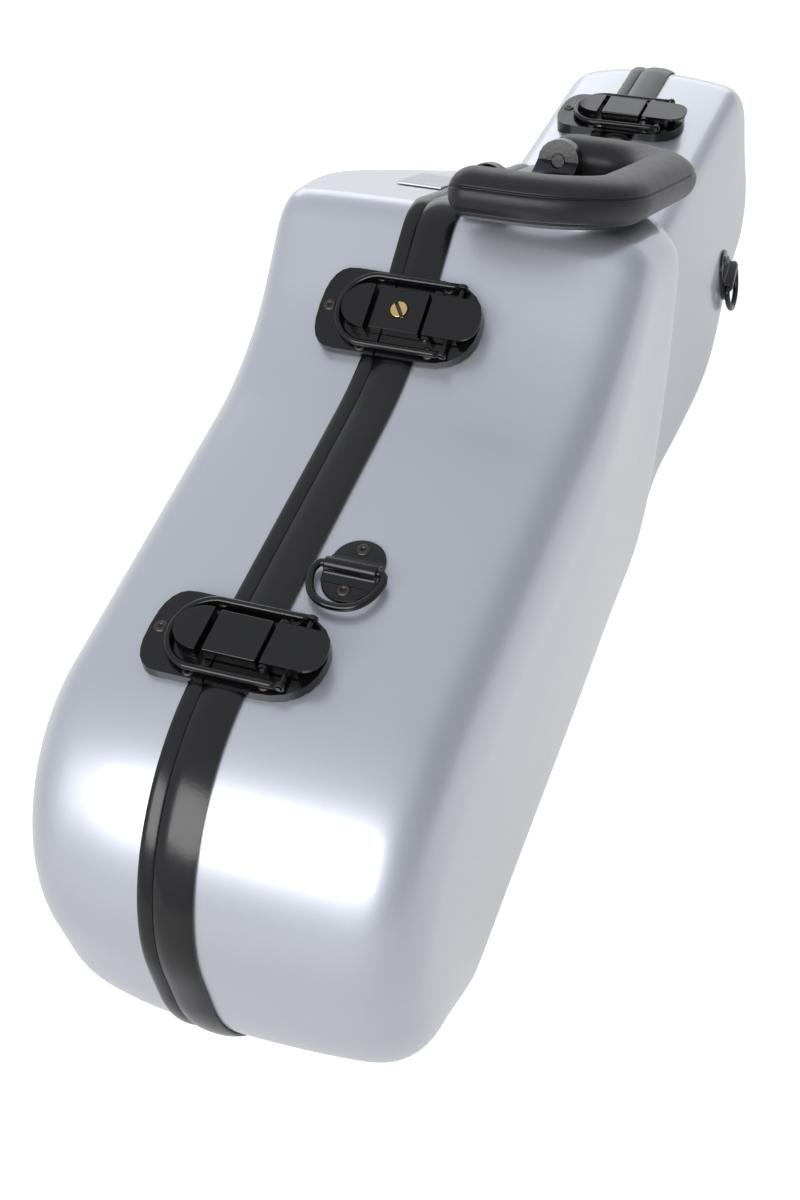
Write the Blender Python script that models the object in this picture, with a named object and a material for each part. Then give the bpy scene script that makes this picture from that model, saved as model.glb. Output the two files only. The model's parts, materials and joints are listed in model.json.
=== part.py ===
"""Alto saxophone case that stands on its hinge spine.

Two glass-fibre half shells meet in one parting plane. The deep base shell is on
the -Y side and the shallow lid on the +Y side. Three hinges carry the lid on the
spine, three draw latches close it, and a folding grip and two strap rings hang
on the base. Everything is modelled in case coordinates: x runs from the bow end
to the neck end, y from the parting plane towards the lid, z up from the spine.
"""
import math
from collections import namedtuple

import bmesh
import bpy
import numpy as np
from mathutils import Matrix, Vector

# Places along the case as shares of its length, and heights as shares of the body's height
THROAT_X_SHARE = 0.37910
SHOULDER_X_SHARE = 0.47719
SHELF_END_X_SHARE = 0.67582
NECK_BEND_X_SHARE = 0.71548
BOW_HEEL_X_SHARE = 0.16781
THROAT_HEIGHT_SHARE = 0.98755
SHOULDER_HEIGHT_SHARE = 1.11582
SHELF_END_HEIGHT_SHARE = 0.79078
NECK_BEND_HEIGHT_SHARE = 0.58115
NECK_END_HEIGHT_SHARE = 0.45538
BOW_HEEL_HEIGHT_SHARE = 0.45039
BASE_STEP_START_X_SHARE = 0.52479
BASE_STEP_END_X_SHARE = 0.65904
LID_STEP_START_X_SHARE = 0.55225
LID_STEP_END_X_SHARE = 0.65904
BOW_CRADLE_X_SHARE = 0.11442
BELL_CRADLE_X_SHARE = 0.43478
NECK_CRADLE_X_SHARE = 0.76278
LID_PAD_X_SHARE = 0.32037
FOOT_BOW_X_SHARE = 0.25172
FOOT_NECK_X_SHARE = 0.91838
GRIP_X_SHARE = 0.54996
BOW_RING_X_SHARE = 0.20992
NECK_RING_X_SHARE = 0.86499
BADGE_X_SHARE = 0.55835
WAIST_X_SHARE = 0.76278
SHOULDER_CUT_X_SHARE = 0.54920

# Outline of the case in the parting plane, corner places and corner radii
CASE_LENGTH = 0.6555
BODY_HEIGHT = 0.2409
BOW_RADIUS = 0.0785
THROAT_X = CASE_LENGTH * THROAT_X_SHARE
THROAT_HEIGHT = BODY_HEIGHT * THROAT_HEIGHT_SHARE
THROAT_RADIUS = 0.137
SHOULDER_X = CASE_LENGTH * SHOULDER_X_SHARE
SHOULDER_HEIGHT = BODY_HEIGHT * SHOULDER_HEIGHT_SHARE
SHOULDER_RADIUS = 0.0205
SHELF_END_X = CASE_LENGTH * SHELF_END_X_SHARE
SHELF_END_HEIGHT = BODY_HEIGHT * SHELF_END_HEIGHT_SHARE
SHELF_END_RADIUS = 0.022
NECK_BEND_X = CASE_LENGTH * NECK_BEND_X_SHARE
NECK_BEND_HEIGHT = BODY_HEIGHT * NECK_BEND_HEIGHT_SHARE
NECK_BEND_RADIUS = 0.030
NECK_END_HEIGHT = BODY_HEIGHT * NECK_END_HEIGHT_SHARE
NECK_TOP_RADIUS = 0.0275
NECK_HEEL_RADIUS = 0.040
BOW_HEEL_X = CASE_LENGTH * BOW_HEEL_X_SHARE
BOW_HEEL_HEIGHT = BODY_HEIGHT * BOW_HEEL_HEIGHT_SHARE
BOW_HEEL_RADIUS = 0.0815
SPINE_END_RADIUS = 0.057
BOW_POLE_INSET = 0.095
NECK_POLE_INSET = 0.055
MEDIAL_SHARE = 0.52

# Half shells: depths from the parting plane, corner radii and the step behind the bell
BASE_BELL_DEPTH = 0.1020
BASE_NECK_DEPTH = 0.0584
BASE_SPINE_BOW_DEPTH = 0.0665
BASE_SPINE_NECK_DEPTH = 0.0650
BASE_BELL_RADIUS = 0.0295
BASE_NECK_RADIUS = 0.0135
BASE_SPINE_RADIUS = 0.0160
BASE_FULLNESS = 0.66
BASE_BOW_TAPER = 0.0022
BASE_DOME = 0.0010
BASE_HEEL = 0.0125
BASE_WAIST = 0.0125
BASE_BLEND = 1.2
BASE_SHOULDER_CUT = 0.30
BASE_STEP_START_X = CASE_LENGTH * BASE_STEP_START_X_SHARE
BASE_STEP_END_X = CASE_LENGTH * BASE_STEP_END_X_SHARE
LID_BELL_DEPTH = 0.0692
LID_NECK_DEPTH = 0.0428
LID_SPINE_BOW_DEPTH = 0.0475
LID_SPINE_NECK_DEPTH = 0.0423
LID_BELL_RADIUS = 0.0235
LID_NECK_RADIUS = 0.0165
LID_SPINE_RADIUS = 0.0250
LID_FULLNESS = 1.0
LID_BOW_TAPER = 0.0034
LID_DOME = 0.002
LID_BLEND = 2.0
LID_SHOULDER_CUT = 0.80
LID_STEP_START_X = CASE_LENGTH * LID_STEP_START_X_SHARE
LID_STEP_END_X = CASE_LENGTH * LID_STEP_END_X_SHARE
WALL_CROWN = 0.0030
SHELF_CROWN = 0.008
SHELF_CROWN_WIDTH = 0.022
HEEL_SPREAD = 0.060
WAIST_SPREAD = 0.074
SHOULDER_CUT_SPREAD = 0.058
WAIST_X = CASE_LENGTH * WAIST_X_SHARE
SHOULDER_CUT_X = CASE_LENGTH * SHOULDER_CUT_X_SHARE
WALL_THICKNESS = 0.003
SEAT_GAP = 0.0003
HALF_GAP = 0.00015
MERGE_DISTANCE = 0.00001
CUT_OVERRUN = 0.002

# Rim seal: a wide rounded strip on the base and a narrow one on the lid
BASE_STRIP_WIDTH = 0.0158
BASE_STRIP_PROUD = 0.0026
BASE_STRIP_EDGE = 0.0012
LID_STRIP_WIDTH = 0.0062
LID_STRIP_PROUD = 0.0019
LID_STRIP_EDGE = 0.0011

# Padded lining and the foam cradles that hold the instrument
LINER_GAP = 0.0005
LINER_THICKNESS = 0.008
LINED_SHOULDER_CUT = 0.30
LINED_RADIUS = 0.0185
LINER_SETBACK = 0.001
CRADLE_GAP = 0.0004
CRADLE_SETBACK = 0.012
CRADLE_LENGTH = 0.045
BOW_CRADLE_X = CASE_LENGTH * BOW_CRADLE_X_SHARE
BOW_NOTCH_RADIUS = 0.036
BELL_CRADLE_X = CASE_LENGTH * BELL_CRADLE_X_SHARE
BELL_NOTCH_RADIUS = 0.062
NECK_CRADLE_X = CASE_LENGTH * NECK_CRADLE_X_SHARE
NECK_NOTCH_RADIUS = 0.026
CRADLE_NOTCH_SHARE = 0.5
LID_PAD_X = CASE_LENGTH * LID_PAD_X_SHARE
LID_PAD_LENGTH = 0.060
LID_PAD_SETBACK = 0.006

# Rubber feet on the spine
FOOT_HEIGHT = 0.012
FOOT_RADIUS = 0.009
FOOT_BOW_X = CASE_LENGTH * FOOT_BOW_X_SHARE
FOOT_NECK_X = CASE_LENGTH * FOOT_NECK_X_SHARE
BASE_FOOT_Y = 0.040
LID_FOOT_Y = 0.0165

# Spine hinges
HINGE_X_SHARES = (0.34, 0.59, 0.84)
HINGE_NAMES = ("bow", "mid", "neck")
HINGE_LENGTH = 0.050
HINGE_LEAF_WIDTH = 0.018
HINGE_LEAF_THICKNESS = 0.0015
HINGE_AXIS_DROP = 0.006
KNUCKLE_RADIUS = 0.0040
KNUCKLE_GAP = 0.0004
KNUCKLE_SHARES = (0.0, 0.26, 0.74, 1.0)
LEAF_EDGE_GAP = 0.0012
HINGE_PIN_RADIUS = 0.0017
PIN_CLEARANCE = 0.0003
HINGE_PIN_HEAD_RADIUS = 0.0028
HINGE_PIN_HEAD_LENGTH = 0.0012

# Draw latches, in the latch's own frame: u along the case, v towards the lid, w outwards
LATCH_X_SHARES = (0.1410, 0.4034, 0.8800)
LATCH_NAMES = ("bow", "bell", "neck")
LATCH_WIDTH = 0.038
PLATE_TOP = 0.0038
PLATE_GAP = 0.0004
KEEPER_LENGTH = 0.0300
KEEPER_ROUND = 0.0115
KEEPER_POWER = 2.6
BASE_PLATE_LENGTH = 0.0400
BASE_PLATE_ROUND = 0.0205
BASE_PLATE_POWER = 2.3
BOSS_WIDTH = 0.020
BOSS_START = 0.0065
BOSS_CENTRE = 0.0080
BOSS_ROUND = 0.0105
LATCH_TOP = 0.0094
SHEET = 0.0012
COVER_WIDTH = 0.0190
COVER_FRONT = 0.0040
COVER_REAR = 0.0172
LEVER_PIVOT_V = 0.0205
LEVER_PIVOT_W = 0.0068
LEVER_NEAR = 0.0189
LEVER_END = 0.0415
LEVER_ROUND = 0.0095
LEVER_POWER = 2.4
LEVER_SKIRT_END = 0.0335
LEVER_SKIRT_LOW = 0.0048
PIVOT_PIN_RADIUS = 0.0010
EAR_RADIUS = 0.0024
EAR_THICKNESS = 0.0013
EAR_GAP = 0.00035
BAIL_ARM = 0.0085
BAIL_DROP = 0.0004
BAIL_HALF_WIDTH = 0.0157
BAIL_WIRE_RADIUS = 0.0015
BAIL_CENTRE = 0.0065
BAIL_ROUND = 0.0140
BAIL_END_W = 0.0058
BAIL_EYE_RADIUS = 0.0020
BAIL_EYE_THICKNESS = 0.0018
STUB_RADIUS = 0.0009
RIVET_RADIUS = 0.0022
RIVET_TOP_RADIUS = 0.0015
RIVET_PROUD = 0.0003
RIVET_U = 0.0164
RIVET_V = 0.0070
BASE_RIVET_U = 0.0152
BASE_RIVET_V = 0.0225
RIVET_END_INSET = 0.0045
END_RIVET_RADIUS = 0.0027
END_RIVET_TOP_RADIUS = 0.0020
LOCK_RADIUS = 0.0036
LOCK_PROUD = 0.0006
LOCK_DEPTH = 0.0045
LOCK_SLOT = 0.0014
LOCK_SLOT_DEPTH = 0.0012
LOCK_SLOT_DEGREES = -55

# Folding grip behind the bell, in its own frame: u up the slope, v away from the seam, w outwards
GRIP_X = CASE_LENGTH * GRIP_X_SHARE
GRIP_Y = 0.0262
EAR_SPAN = 0.0992
GRIP_EAR_RADIUS = 0.0097
GRIP_EAR_THICKNESS = 0.007
GRIP_AXIS_HEIGHT = 0.0110
SADDLE_WIDTH = 0.0194
SADDLE_THICKNESS = 0.0035
SADDLE_FLAT = 0.052
GRIP_RADIUS = 0.0102
GRIP_HALF_WIDTH = 0.0140
GRIP_LEG_GAP = 0.0005
GRIP_REACH = 0.0525
GRIP_CORNER_RADIUS = 0.034
GRIP_PIN_RADIUS = 0.003
SADDLE_SCREW_S = 0.031
SCREW_HEAD_RADIUS = 0.0042
SCREW_HEAD_HEIGHT = 0.0022
SCREW_RADIUS = 0.0020

# Strap rings
RING_BRACKET_LENGTH = 0.031
RING_BRACKET_WIDTH = 0.021
RING_PLATE_THICKNESS = 0.0016
RING_PLATE_SHIFT = -0.0012
RING_BRIDGE_LENGTH = 0.0090
RING_RIVET_U = 0.0103
RING_TURN_INSET = 0.22
RING_BAR_SHARES = (-0.8, -0.4, 0.0, 0.4, 0.8)
RING_BRIDGE_HEIGHT = 0.0068
RING_HALF_WIDTH = 0.0142
RING_REACH = 0.0192
RING_WIRE_RADIUS = 0.0016
RING_AXIS_HEIGHT = 0.0040
RING_BORE_CLEARANCE = 0.0005
BOW_RING_X = CASE_LENGTH * BOW_RING_X_SHARE
BOW_RING_Y = 0.0320
NECK_RING_X = CASE_LENGTH * NECK_RING_X_SHARE
NECK_RING_Z = 0.0300

# Badge plate on the lid, left bare
BADGE_X = CASE_LENGTH * BADGE_X_SHARE
BADGE_Y = 0.0190
BADGE_LENGTH = 0.034
BADGE_WIDTH = 0.021
BADGE_THICKNESS = 0.0010

Half = namedtuple("Half", "side bell neck spine_bow spine_neck bell_radius neck_radius spine_radius "
                  "taper dome step_start step_end fullness heel waist blend shoulder_cut")
BASE = Half(-1, BASE_BELL_DEPTH, BASE_NECK_DEPTH, BASE_SPINE_BOW_DEPTH, BASE_SPINE_NECK_DEPTH,
            BASE_BELL_RADIUS, BASE_NECK_RADIUS, BASE_SPINE_RADIUS, BASE_BOW_TAPER, BASE_DOME,
            BASE_STEP_START_X, BASE_STEP_END_X, BASE_FULLNESS,
            BASE_HEEL, BASE_WAIST, BASE_BLEND, BASE_SHOULDER_CUT)
LID = Half(1, LID_BELL_DEPTH, LID_NECK_DEPTH, LID_SPINE_BOW_DEPTH, LID_SPINE_NECK_DEPTH,
           LID_BELL_RADIUS, LID_NECK_RADIUS, LID_SPINE_RADIUS, LID_BOW_TAPER, LID_DOME,
           LID_STEP_START_X, LID_STEP_END_X, LID_FULLNESS, 0, 0, LID_BLEND, LID_SHOULDER_CUT)

CORNERS = ((BOW_HEEL_X, 0, SPINE_END_RADIUS, 4), (0, BOW_HEEL_HEIGHT, BOW_HEEL_RADIUS, 4),
           (0, BODY_HEIGHT, BOW_RADIUS, 6), (THROAT_X, THROAT_HEIGHT, THROAT_RADIUS, 3),
           (SHOULDER_X, SHOULDER_HEIGHT, SHOULDER_RADIUS, 4),
           (SHELF_END_X, SHELF_END_HEIGHT, SHELF_END_RADIUS, 3),
           (NECK_BEND_X, NECK_BEND_HEIGHT, NECK_BEND_RADIUS, 3),
           (CASE_LENGTH, NECK_END_HEIGHT, NECK_TOP_RADIUS, 4), (CASE_LENGTH, 0, NECK_HEEL_RADIUS, 4))
STRAIGHT_STEPS = (1, 1, 3, 1, 3)
WALL_SHARES = (0.0, 0.6, 1.0)
FILLET_TURNS = (30, 60, 90)
FACE_SHARES = (0.35, 0.7, 1.0)

METALLIC_SILVER = (0.66, 0.67, 0.69)
BLACK_RUBBER = (0.022, 0.021, 0.022)
BLACK_LACQUER = (0.016, 0.015, 0.016)
STEEL = (0.55, 0.55, 0.56)
BRASS = (0.78, 0.55, 0.22)
PLUSH = (0.035, 0.035, 0.042)


def clear_scene():
    """Remove every object that the file opened with."""
    for old in list(bpy.data.objects):
        bpy.data.objects.remove(old, do_unlink=True)


def new_collection(name):
    """A collection of that name in the scene."""
    made = bpy.data.collections.new(name)
    bpy.context.scene.collection.children.link(made)
    return made


def material(name, colour, roughness, metallic=0.0):
    """A Principled material with one colour."""
    made = bpy.data.materials.new(name)
    made.use_nodes = True
    shader = made.node_tree.nodes["Principled BSDF"]
    shader.inputs["Base Color"].default_value = (*colour, 1.0)
    shader.inputs["Roughness"].default_value = roughness
    shader.inputs["Metallic"].default_value = metallic
    made.diffuse_color = (*colour, 1.0)
    return made


def smooth_step(t):
    """0 below 0, 1 above 1, and 3t^2 - 2t^3 between."""
    t = np.clip(t, 0.0, 1.0)
    return t * t * (3 - 2 * t)


def corner_arc(before, corner, after, radius, steps):
    """Points of the arc that rounds one corner of the outline."""
    before, corner, after = (np.array(p, float) for p in (before, corner, after))
    back = (before - corner) / np.linalg.norm(before - corner)
    ahead = (after - corner) / np.linalg.norm(after - corner)
    half_angle = math.acos(float(np.clip(back @ ahead, -1, 1))) / 2
    middle = (back + ahead) / np.linalg.norm(back + ahead)
    centre = corner + middle * radius / math.sin(half_angle)
    start = corner + back * radius / math.tan(half_angle) - centre
    end = corner + ahead * radius / math.tan(half_angle) - centre
    first = math.atan2(start[1], start[0])
    turn = math.atan2(end[1], end[0]) - first
    turn = (turn + math.pi) % (2 * math.pi) - math.pi
    angles = first + turn * np.linspace(0, 1, steps + 1)
    return centre + radius * np.stack([np.cos(angles), np.sin(angles)], 1)


def outline_arcs():
    """One arc for each corner, clockwise from the bow heel as seen from the base's side."""
    places = [corner[:2] for corner in CORNERS]
    count = len(CORNERS)
    return [corner_arc(places[i - 1], places[i], places[(i + 1) % count], CORNERS[i][2], CORNERS[i][3])
            for i in range(count)]


def between(start, end, steps):
    """Points that divide a straight run, without its ends."""
    shares = np.arange(1, steps + 1)[:, None] / (steps + 1)
    return start + (end - start) * shares


def seam_outline():
    """The outline's bow end, latch side, neck end and spine, in that order."""
    heel, bow_low, bow_top, throat, shoulder, shelf, bend, neck_top, neck_heel = outline_arcs()
    bow = np.vstack([heel, bow_low, bow_top])
    runs = [bow_top, throat, shoulder, shelf, bend, neck_top]
    latch_side = []
    for i, steps in enumerate(STRAIGHT_STEPS):
        latch_side.append(between(runs[i][-1], runs[i + 1][0], steps))
        if i < len(STRAIGHT_STEPS) - 1:
            latch_side.append(runs[i + 1])
    latch_side = np.vstack(latch_side)
    neck = np.vstack([neck_top, neck_heel])
    first, last = bow[-1], neck[0]
    shares = (latch_side[:, :1] - first[0]) / (last[0] - first[0])
    spine = bow[0] + (neck[-1] - bow[0]) * shares
    return bow, latch_side, neck, spine[::-1]


def outline_height(x):
    """Height of the latch side above the spine, before its corners are rounded."""
    corners = CORNERS[2:8]
    return np.interp(x, [c[0] for c in corners], [c[1] for c in corners])


def outline_frame(x):
    """Where a flat plate above x touches the latch side, and the angle at which it lies."""
    bow, latch_side, neck, _ = seam_outline()
    run = np.vstack([bow[-CORNERS[2][3] - 1:], latch_side, neck[:CORNERS[0][3]]])
    half = LATCH_WIDTH / 2
    spots = np.linspace(x - half, x + half, 9)
    heights = np.interp(spots, run[:, 0], run[:, 1])
    climb = (heights[-1] - heights[0]) / LATCH_WIDTH
    rise = float(np.max(heights - climb * (spots - x)))
    return rise, math.atan(climb)


def bulge(half, x):
    """1 along the body and the bell, falling to 0 where the neck part begins."""
    return 1 - smooth_step((x - half.step_start) / (half.step_end - half.step_start))


def side_depth(half, x, z):
    """Distance of the side face from the parting plane."""
    bell = bulge(half, x)
    high = half.neck + (half.bell - half.neck) * bell
    high = high - half.taper * (1 - smooth_step(x / SHOULDER_X))
    low = half.spine_bow + (half.spine_neck - half.spine_bow) * x / CASE_LENGTH
    low = low + half.heel * np.exp(-(x / HEEL_SPREAD) ** 2)
    low = low + half.waist * np.exp(-((x - WAIST_X) / WAIST_SPREAD) ** 2)
    share = np.clip(z / outline_height(x), 0, 1) ** half.fullness
    return low + (high - low) * share


def medial_points(runs):
    """The inner end of each outline point's strip: a pole at each end, a ridge between."""
    bow, latch_side, neck, spine = runs
    x_bow, x_neck = BOW_POLE_INSET, CASE_LENGTH - NECK_POLE_INSET
    first, last = bow[-1][0], neck[0][0]
    shares = (latch_side[:, 0] - first) / (last - first)
    ridge = x_bow + (x_neck - x_bow) * shares
    x = np.concatenate([np.full(len(bow), x_bow), ridge, np.full(len(neck), x_neck), ridge[::-1]])
    return np.stack([x, MEDIAL_SHARE * outline_height(x)], 1)


def shell_rings(half):
    """Rings of points from the seam over the rounded corner to the middle of the side face."""
    runs = seam_outline()
    edge = np.vstack(runs)
    inner = medial_points(runs)
    way = inner - edge
    reach = np.linalg.norm(way, axis=1)[:, None]
    inward = way / reach
    high = half.neck_radius + (half.bell_radius - half.neck_radius) * bulge(half, edge[:, 0])
    low = (1 - np.clip(edge[:, 1] / outline_height(edge[:, 0]), 0, 1)) ** half.blend
    upper = edge[:, 1] > BOW_HEEL_HEIGHT
    cut = half.shoulder_cut * np.exp(-((edge[:, 0] - SHOULDER_CUT_X) / SHOULDER_CUT_SPREAD) ** 2) * upper
    radius = ((high + (half.spine_radius - high) * low) * (1 - cut))[:, None]
    shelf = np.exp(-((edge[:, 0] - SHELF_END_X) / SHELF_CROWN_WIDTH) ** 2) * upper
    crown = (WALL_CROWN * (1 - cut) + SHELF_CROWN * shelf)[:, None]
    crease = edge + inward * radius
    depth = side_depth(half, crease[:, 0], crease[:, 1])[:, None]
    rings = []
    for share in WALL_SHARES:
        level = HALF_GAP + (depth - radius - HALF_GAP) * share
        rings.append(np.hstack([edge + inward * crown * share**3, level]))
    for turn in np.radians(FILLET_TURNS):
        inset = crown + radius * (1 - math.cos(turn))
        rings.append(np.hstack([edge + inward * inset, depth - radius + radius * math.sin(turn)]))
    start = (crown + radius) / reach
    for share in FACE_SHARES:
        spot = edge + way * (start + (1 - start) * share)
        level = side_depth(half, spot[:, 0], spot[:, 1])[:, None]
        rings.append(np.hstack([spot, level + half.dome * (1 - (1 - share) ** 2)]))
    rings = np.stack(rings)
    return np.stack([rings[..., 0], rings[..., 2] * half.side, rings[..., 1]], -1)


def case_origin():
    """Where the bow end of the seam lies when the case is centred on the ground."""
    base_reach = -shell_rings(BASE)[..., 1].min()
    lid_reach = shell_rings(LID)[..., 1].max()
    return Vector((-CASE_LENGTH / 2, float(base_reach - lid_reach) / 2, FOOT_HEIGHT))


def shell_surface(name, half, inset=0.0, setback=0.0):
    """The half's open outer surface, moved inwards by inset, with its edge set back from the seam."""
    rings = shell_rings(half)
    count = rings.shape[1]
    mesh = bmesh.new()
    grid = [[mesh.verts.new(point) for point in ring] for ring in rings]
    for ring, following in zip(grid, grid[1:]):
        for i in range(count):
            j = (i + 1) % count
            quad = (ring[i], ring[j], following[j], following[i])
            mesh.faces.new(quad if half.side > 0 else quad[::-1])
    bmesh.ops.remove_doubles(mesh, verts=mesh.verts, dist=MERGE_DISTANCE)
    bmesh.ops.triangulate(mesh, faces=mesh.faces, quad_method="FIXED")
    mesh.normal_update()
    moves = [(v, v.normal * inset * v.calc_shell_factor()) for v in mesh.verts]
    for v, move in moves:
        v.co -= move
        if v.is_boundary:
            v.co.y = half.side * (HALF_GAP + setback)
    data = bpy.data.meshes.new(name)
    mesh.to_mesh(data)
    mesh.free()
    return bpy.data.objects.new(name, data)


def shell_wall(name, half, inset, thickness, setback=0.0):
    """The closed wall between two such surfaces, its rim flat in the parting plane."""
    outer = shell_surface(name, half, inset, setback)
    inner = shell_surface(name + "_inside", half, inset + thickness, setback)
    mesh = bmesh.new()
    mesh.from_mesh(outer.data)
    mesh.verts.index_update()
    count = len(mesh.verts)
    rim = [[v.index for v in edge.verts] for edge in mesh.edges if edge.is_boundary]
    mesh.from_mesh(inner.data)
    mesh.verts.ensure_lookup_table()
    for a, b in rim:
        mesh.faces.new([mesh.verts[i] for i in (a, b, b + count, a + count)])
    bmesh.ops.recalc_face_normals(mesh, faces=mesh.faces)
    mesh.to_mesh(outer.data)
    mesh.free()
    bpy.data.objects.remove(inner, do_unlink=True)
    return outer


def shell_solid(name, half, inset, setback=0.0):
    """The half's volume inside that surface, closed in the parting plane."""
    made = shell_surface(name, half, inset, setback)
    mesh = bmesh.new()
    mesh.from_mesh(made.data)
    rim = [edge for edge in mesh.edges if edge.is_boundary]
    bmesh.ops.contextual_create(mesh, geom=rim)
    bmesh.ops.recalc_face_normals(mesh, faces=mesh.faces)
    if mesh.calc_volume(signed=True) < 0:
        bmesh.ops.reverse_faces(mesh, faces=mesh.faces)
    mesh.to_mesh(made.data)
    mesh.free()
    return made


def from_bmesh(name, mesh):
    """An object that holds the bmesh's shape."""
    data = bpy.data.meshes.new(name)
    mesh.to_mesh(data)
    mesh.free()
    return bpy.data.objects.new(name, data)


def box(name, low, high):
    """A box between two opposite corners."""
    low, high = Vector(low), Vector(high)
    mesh = bmesh.new()
    place = Matrix.Translation((low + high) / 2) @ Matrix.Diagonal((*(high - low), 1.0))
    bmesh.ops.create_cube(mesh, size=1.0, matrix=place)
    return from_bmesh(name, mesh)


def rod(name, start, end, radius, sides=16, end_radius=None):
    """A cylinder or cone from one point to another."""
    start, end = Vector(start), Vector(end)
    way = end - start
    mesh = bmesh.new()
    place = Matrix.Translation((start + end) / 2) @ way.to_track_quat("Z", "Y").to_matrix().to_4x4()
    bmesh.ops.create_cone(mesh, cap_ends=True, segments=sides, radius1=radius,
                          radius2=radius if end_radius is None else end_radius,
                          depth=way.length, matrix=place)
    return from_bmesh(name, mesh)


def curve_to_mesh(name, curve):
    """The mesh of a curve, with the points of its caps merged."""
    guide = bpy.data.objects.new(name, curve)
    bpy.context.scene.collection.objects.link(guide)
    data = bpy.data.meshes.new_from_object(guide.evaluated_get(bpy.context.evaluated_depsgraph_get()))
    bpy.data.objects.remove(guide, do_unlink=True)
    mesh = bmesh.new()
    mesh.from_mesh(data)
    bmesh.ops.remove_doubles(mesh, verts=mesh.verts, dist=MERGE_DISTANCE)
    bmesh.ops.recalc_face_normals(mesh, faces=mesh.faces)
    mesh.to_mesh(data)
    mesh.free()
    data.name = name
    return bpy.data.objects.new(name, data)


def outline_plate(name, points, low, high):
    """A flat outline in the u-v plane, made thick from w = low to w = high."""
    curve = bpy.data.curves.new(name, "CURVE")
    curve.dimensions = "2D"
    curve.fill_mode = "BOTH"
    curve.extrude = (high - low) / 2
    spline = curve.splines.new("POLY")
    spline.points.add(len(points) - 1)
    for target, (u, v) in zip(spline.points, points):
        target.co = (u, v, 0, 1)
    spline.use_cyclic_u = True
    made = curve_to_mesh(name, curve)
    made.data.transform(Matrix.Translation((0, 0, (low + high) / 2)))
    return made


def tube(name, points, radius, resolution=2, cyclic=False, swell=None):
    """A round wire through the points, with filled ends."""
    curve = bpy.data.curves.new(name, "CURVE")
    curve.dimensions = "3D"
    curve.bevel_depth = radius
    curve.bevel_resolution = resolution
    curve.use_fill_caps = True
    spline = curve.splines.new("POLY")
    spline.points.add(len(points) - 1)
    for i, point in enumerate(points):
        spline.points[i].co = (*point, 1)
        spline.points[i].radius = 1 if swell is None else swell[i]
    spline.use_cyclic_u = cyclic
    return curve_to_mesh(name, curve)


def round_end(half_width, start, depth, power, steps, side):
    """A plate's end: the half of a superellipse that bulges along v."""
    angles = np.linspace(0, math.pi, steps + 1)
    u = half_width * np.sign(np.cos(angles)) * np.abs(np.cos(angles)) ** (2 / power)
    v = start + depth * np.abs(np.sin(angles)) ** (2 / power)
    return [(float(a), float(b) * side) for a, b in zip(u, v)]


class Build:
    """Keeps the collections, the bodies' empties and the materials."""

    def __init__(self):
        self.parts = new_collection("alto_saxophone_case")
        self.cutters = new_collection("cutters")
        self.root = self.empty("case_origin", Vector((0, 0, 0)), None)
        self.root.location = ORIGIN
        self.pivots = {}
        self.seats = {}

    def empty(self, name, location, parent):
        """An empty at a point of the case."""
        made = bpy.data.objects.new(name, None)
        self.parts.objects.link(made)
        made.location = location
        made.parent = parent
        return made

    def body(self, name, pivot=(0, 0, 0)):
        """The empty that a moving body hangs on, at a point of its joint's axis."""
        self.pivots[name] = (self.empty(name + "_axis", Vector(pivot), self.root), Vector(pivot))

    def set_place(self, made, body, frame):
        """Parent an object to a body's empty, keeping its place in the case."""
        parent, pivot = self.pivots[body]
        made.parent = parent
        made.matrix_basis = Matrix.Translation(-pivot) @ frame

    def add(self, made, body, look, frame=None, tools=()):
        """Put a piece in its place and give it its material and its Boolean steps."""
        frame = frame or Matrix.Identity(4)
        self.parts.objects.link(made)
        self.set_place(made, body, frame)
        made.data.materials.append(look)
        for operation, tool in tools:
            if tool.name not in self.cutters.objects:
                self.cutters.objects.link(tool)
                self.set_place(tool, body, frame)
                tool.hide_render = True
                tool.display_type = "WIRE"
            step = made.modifiers.new(operation.lower(), "BOOLEAN")
            step.operation = operation
            step.object = tool
            step.solver = "EXACT"
        made.data.shade_smooth()
        made.data.set_sharp_from_angle(angle=math.radians(35))
        return made

    def seat(self, half):
        """The half's volume grown by the seating gap, which fitted pieces are cut with."""
        name = "base_seat" if half.side < 0 else "lid_seat"
        if name not in self.seats:
            solid = shell_solid(name, half, -SEAT_GAP)
            self.cutters.objects.link(solid)
            self.set_place(solid, "base" if half.side < 0 else "lid", Matrix.Identity(4))
            solid.hide_render = True
            solid.display_type = "WIRE"
            self.seats[name] = solid
        return self.seats[name]

    def rim_room(self, half):
        """The rim strip's volume grown by the seating gap, for the plates that bridge the strip."""
        name = "base_rim_room" if half.side < 0 else "lid_rim_room"
        if name not in self.seats:
            base = half.side < 0
            width = BASE_STRIP_WIDTH if base else LID_STRIP_WIDTH
            proud = BASE_STRIP_PROUD if base else LID_STRIP_PROUD
            profile = strip_profile(width + SEAT_GAP, proud + SEAT_GAP, proud + SEAT_GAP, half.side)
            profile = [(y if abs(y) > width / 8 else -half.side * CUT_OVERRUN, h) for y, h in profile]
            profile = [(y, h if h > SEAT_GAP else -CUT_OVERRUN) for y, h in profile]
            solid = rim_strip(name, profile)
            self.cutters.objects.link(solid)
            self.set_place(solid, "base" if half.side < 0 else "lid", Matrix.Identity(4))
            solid.hide_render = True
            solid.display_type = "WIRE"
            self.seats[name] = solid
        return self.seats[name]


def looks():
    """The materials by the name of their finish."""
    return {
        "silver_lacquer": material("silver_lacquer", METALLIC_SILVER, 0.28, 0.7),
        "black_rubber": material("black_rubber", BLACK_RUBBER, 0.55),
        "black_lacquer": material("black_lacquer", BLACK_LACQUER, 0.25, 0.3),
        "steel": material("steel", STEEL, 0.35, 1.0),
        "brass": material("brass", BRASS, 0.3, 1.0),
        "plush": material("plush", PLUSH, 0.95),
    }


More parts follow.
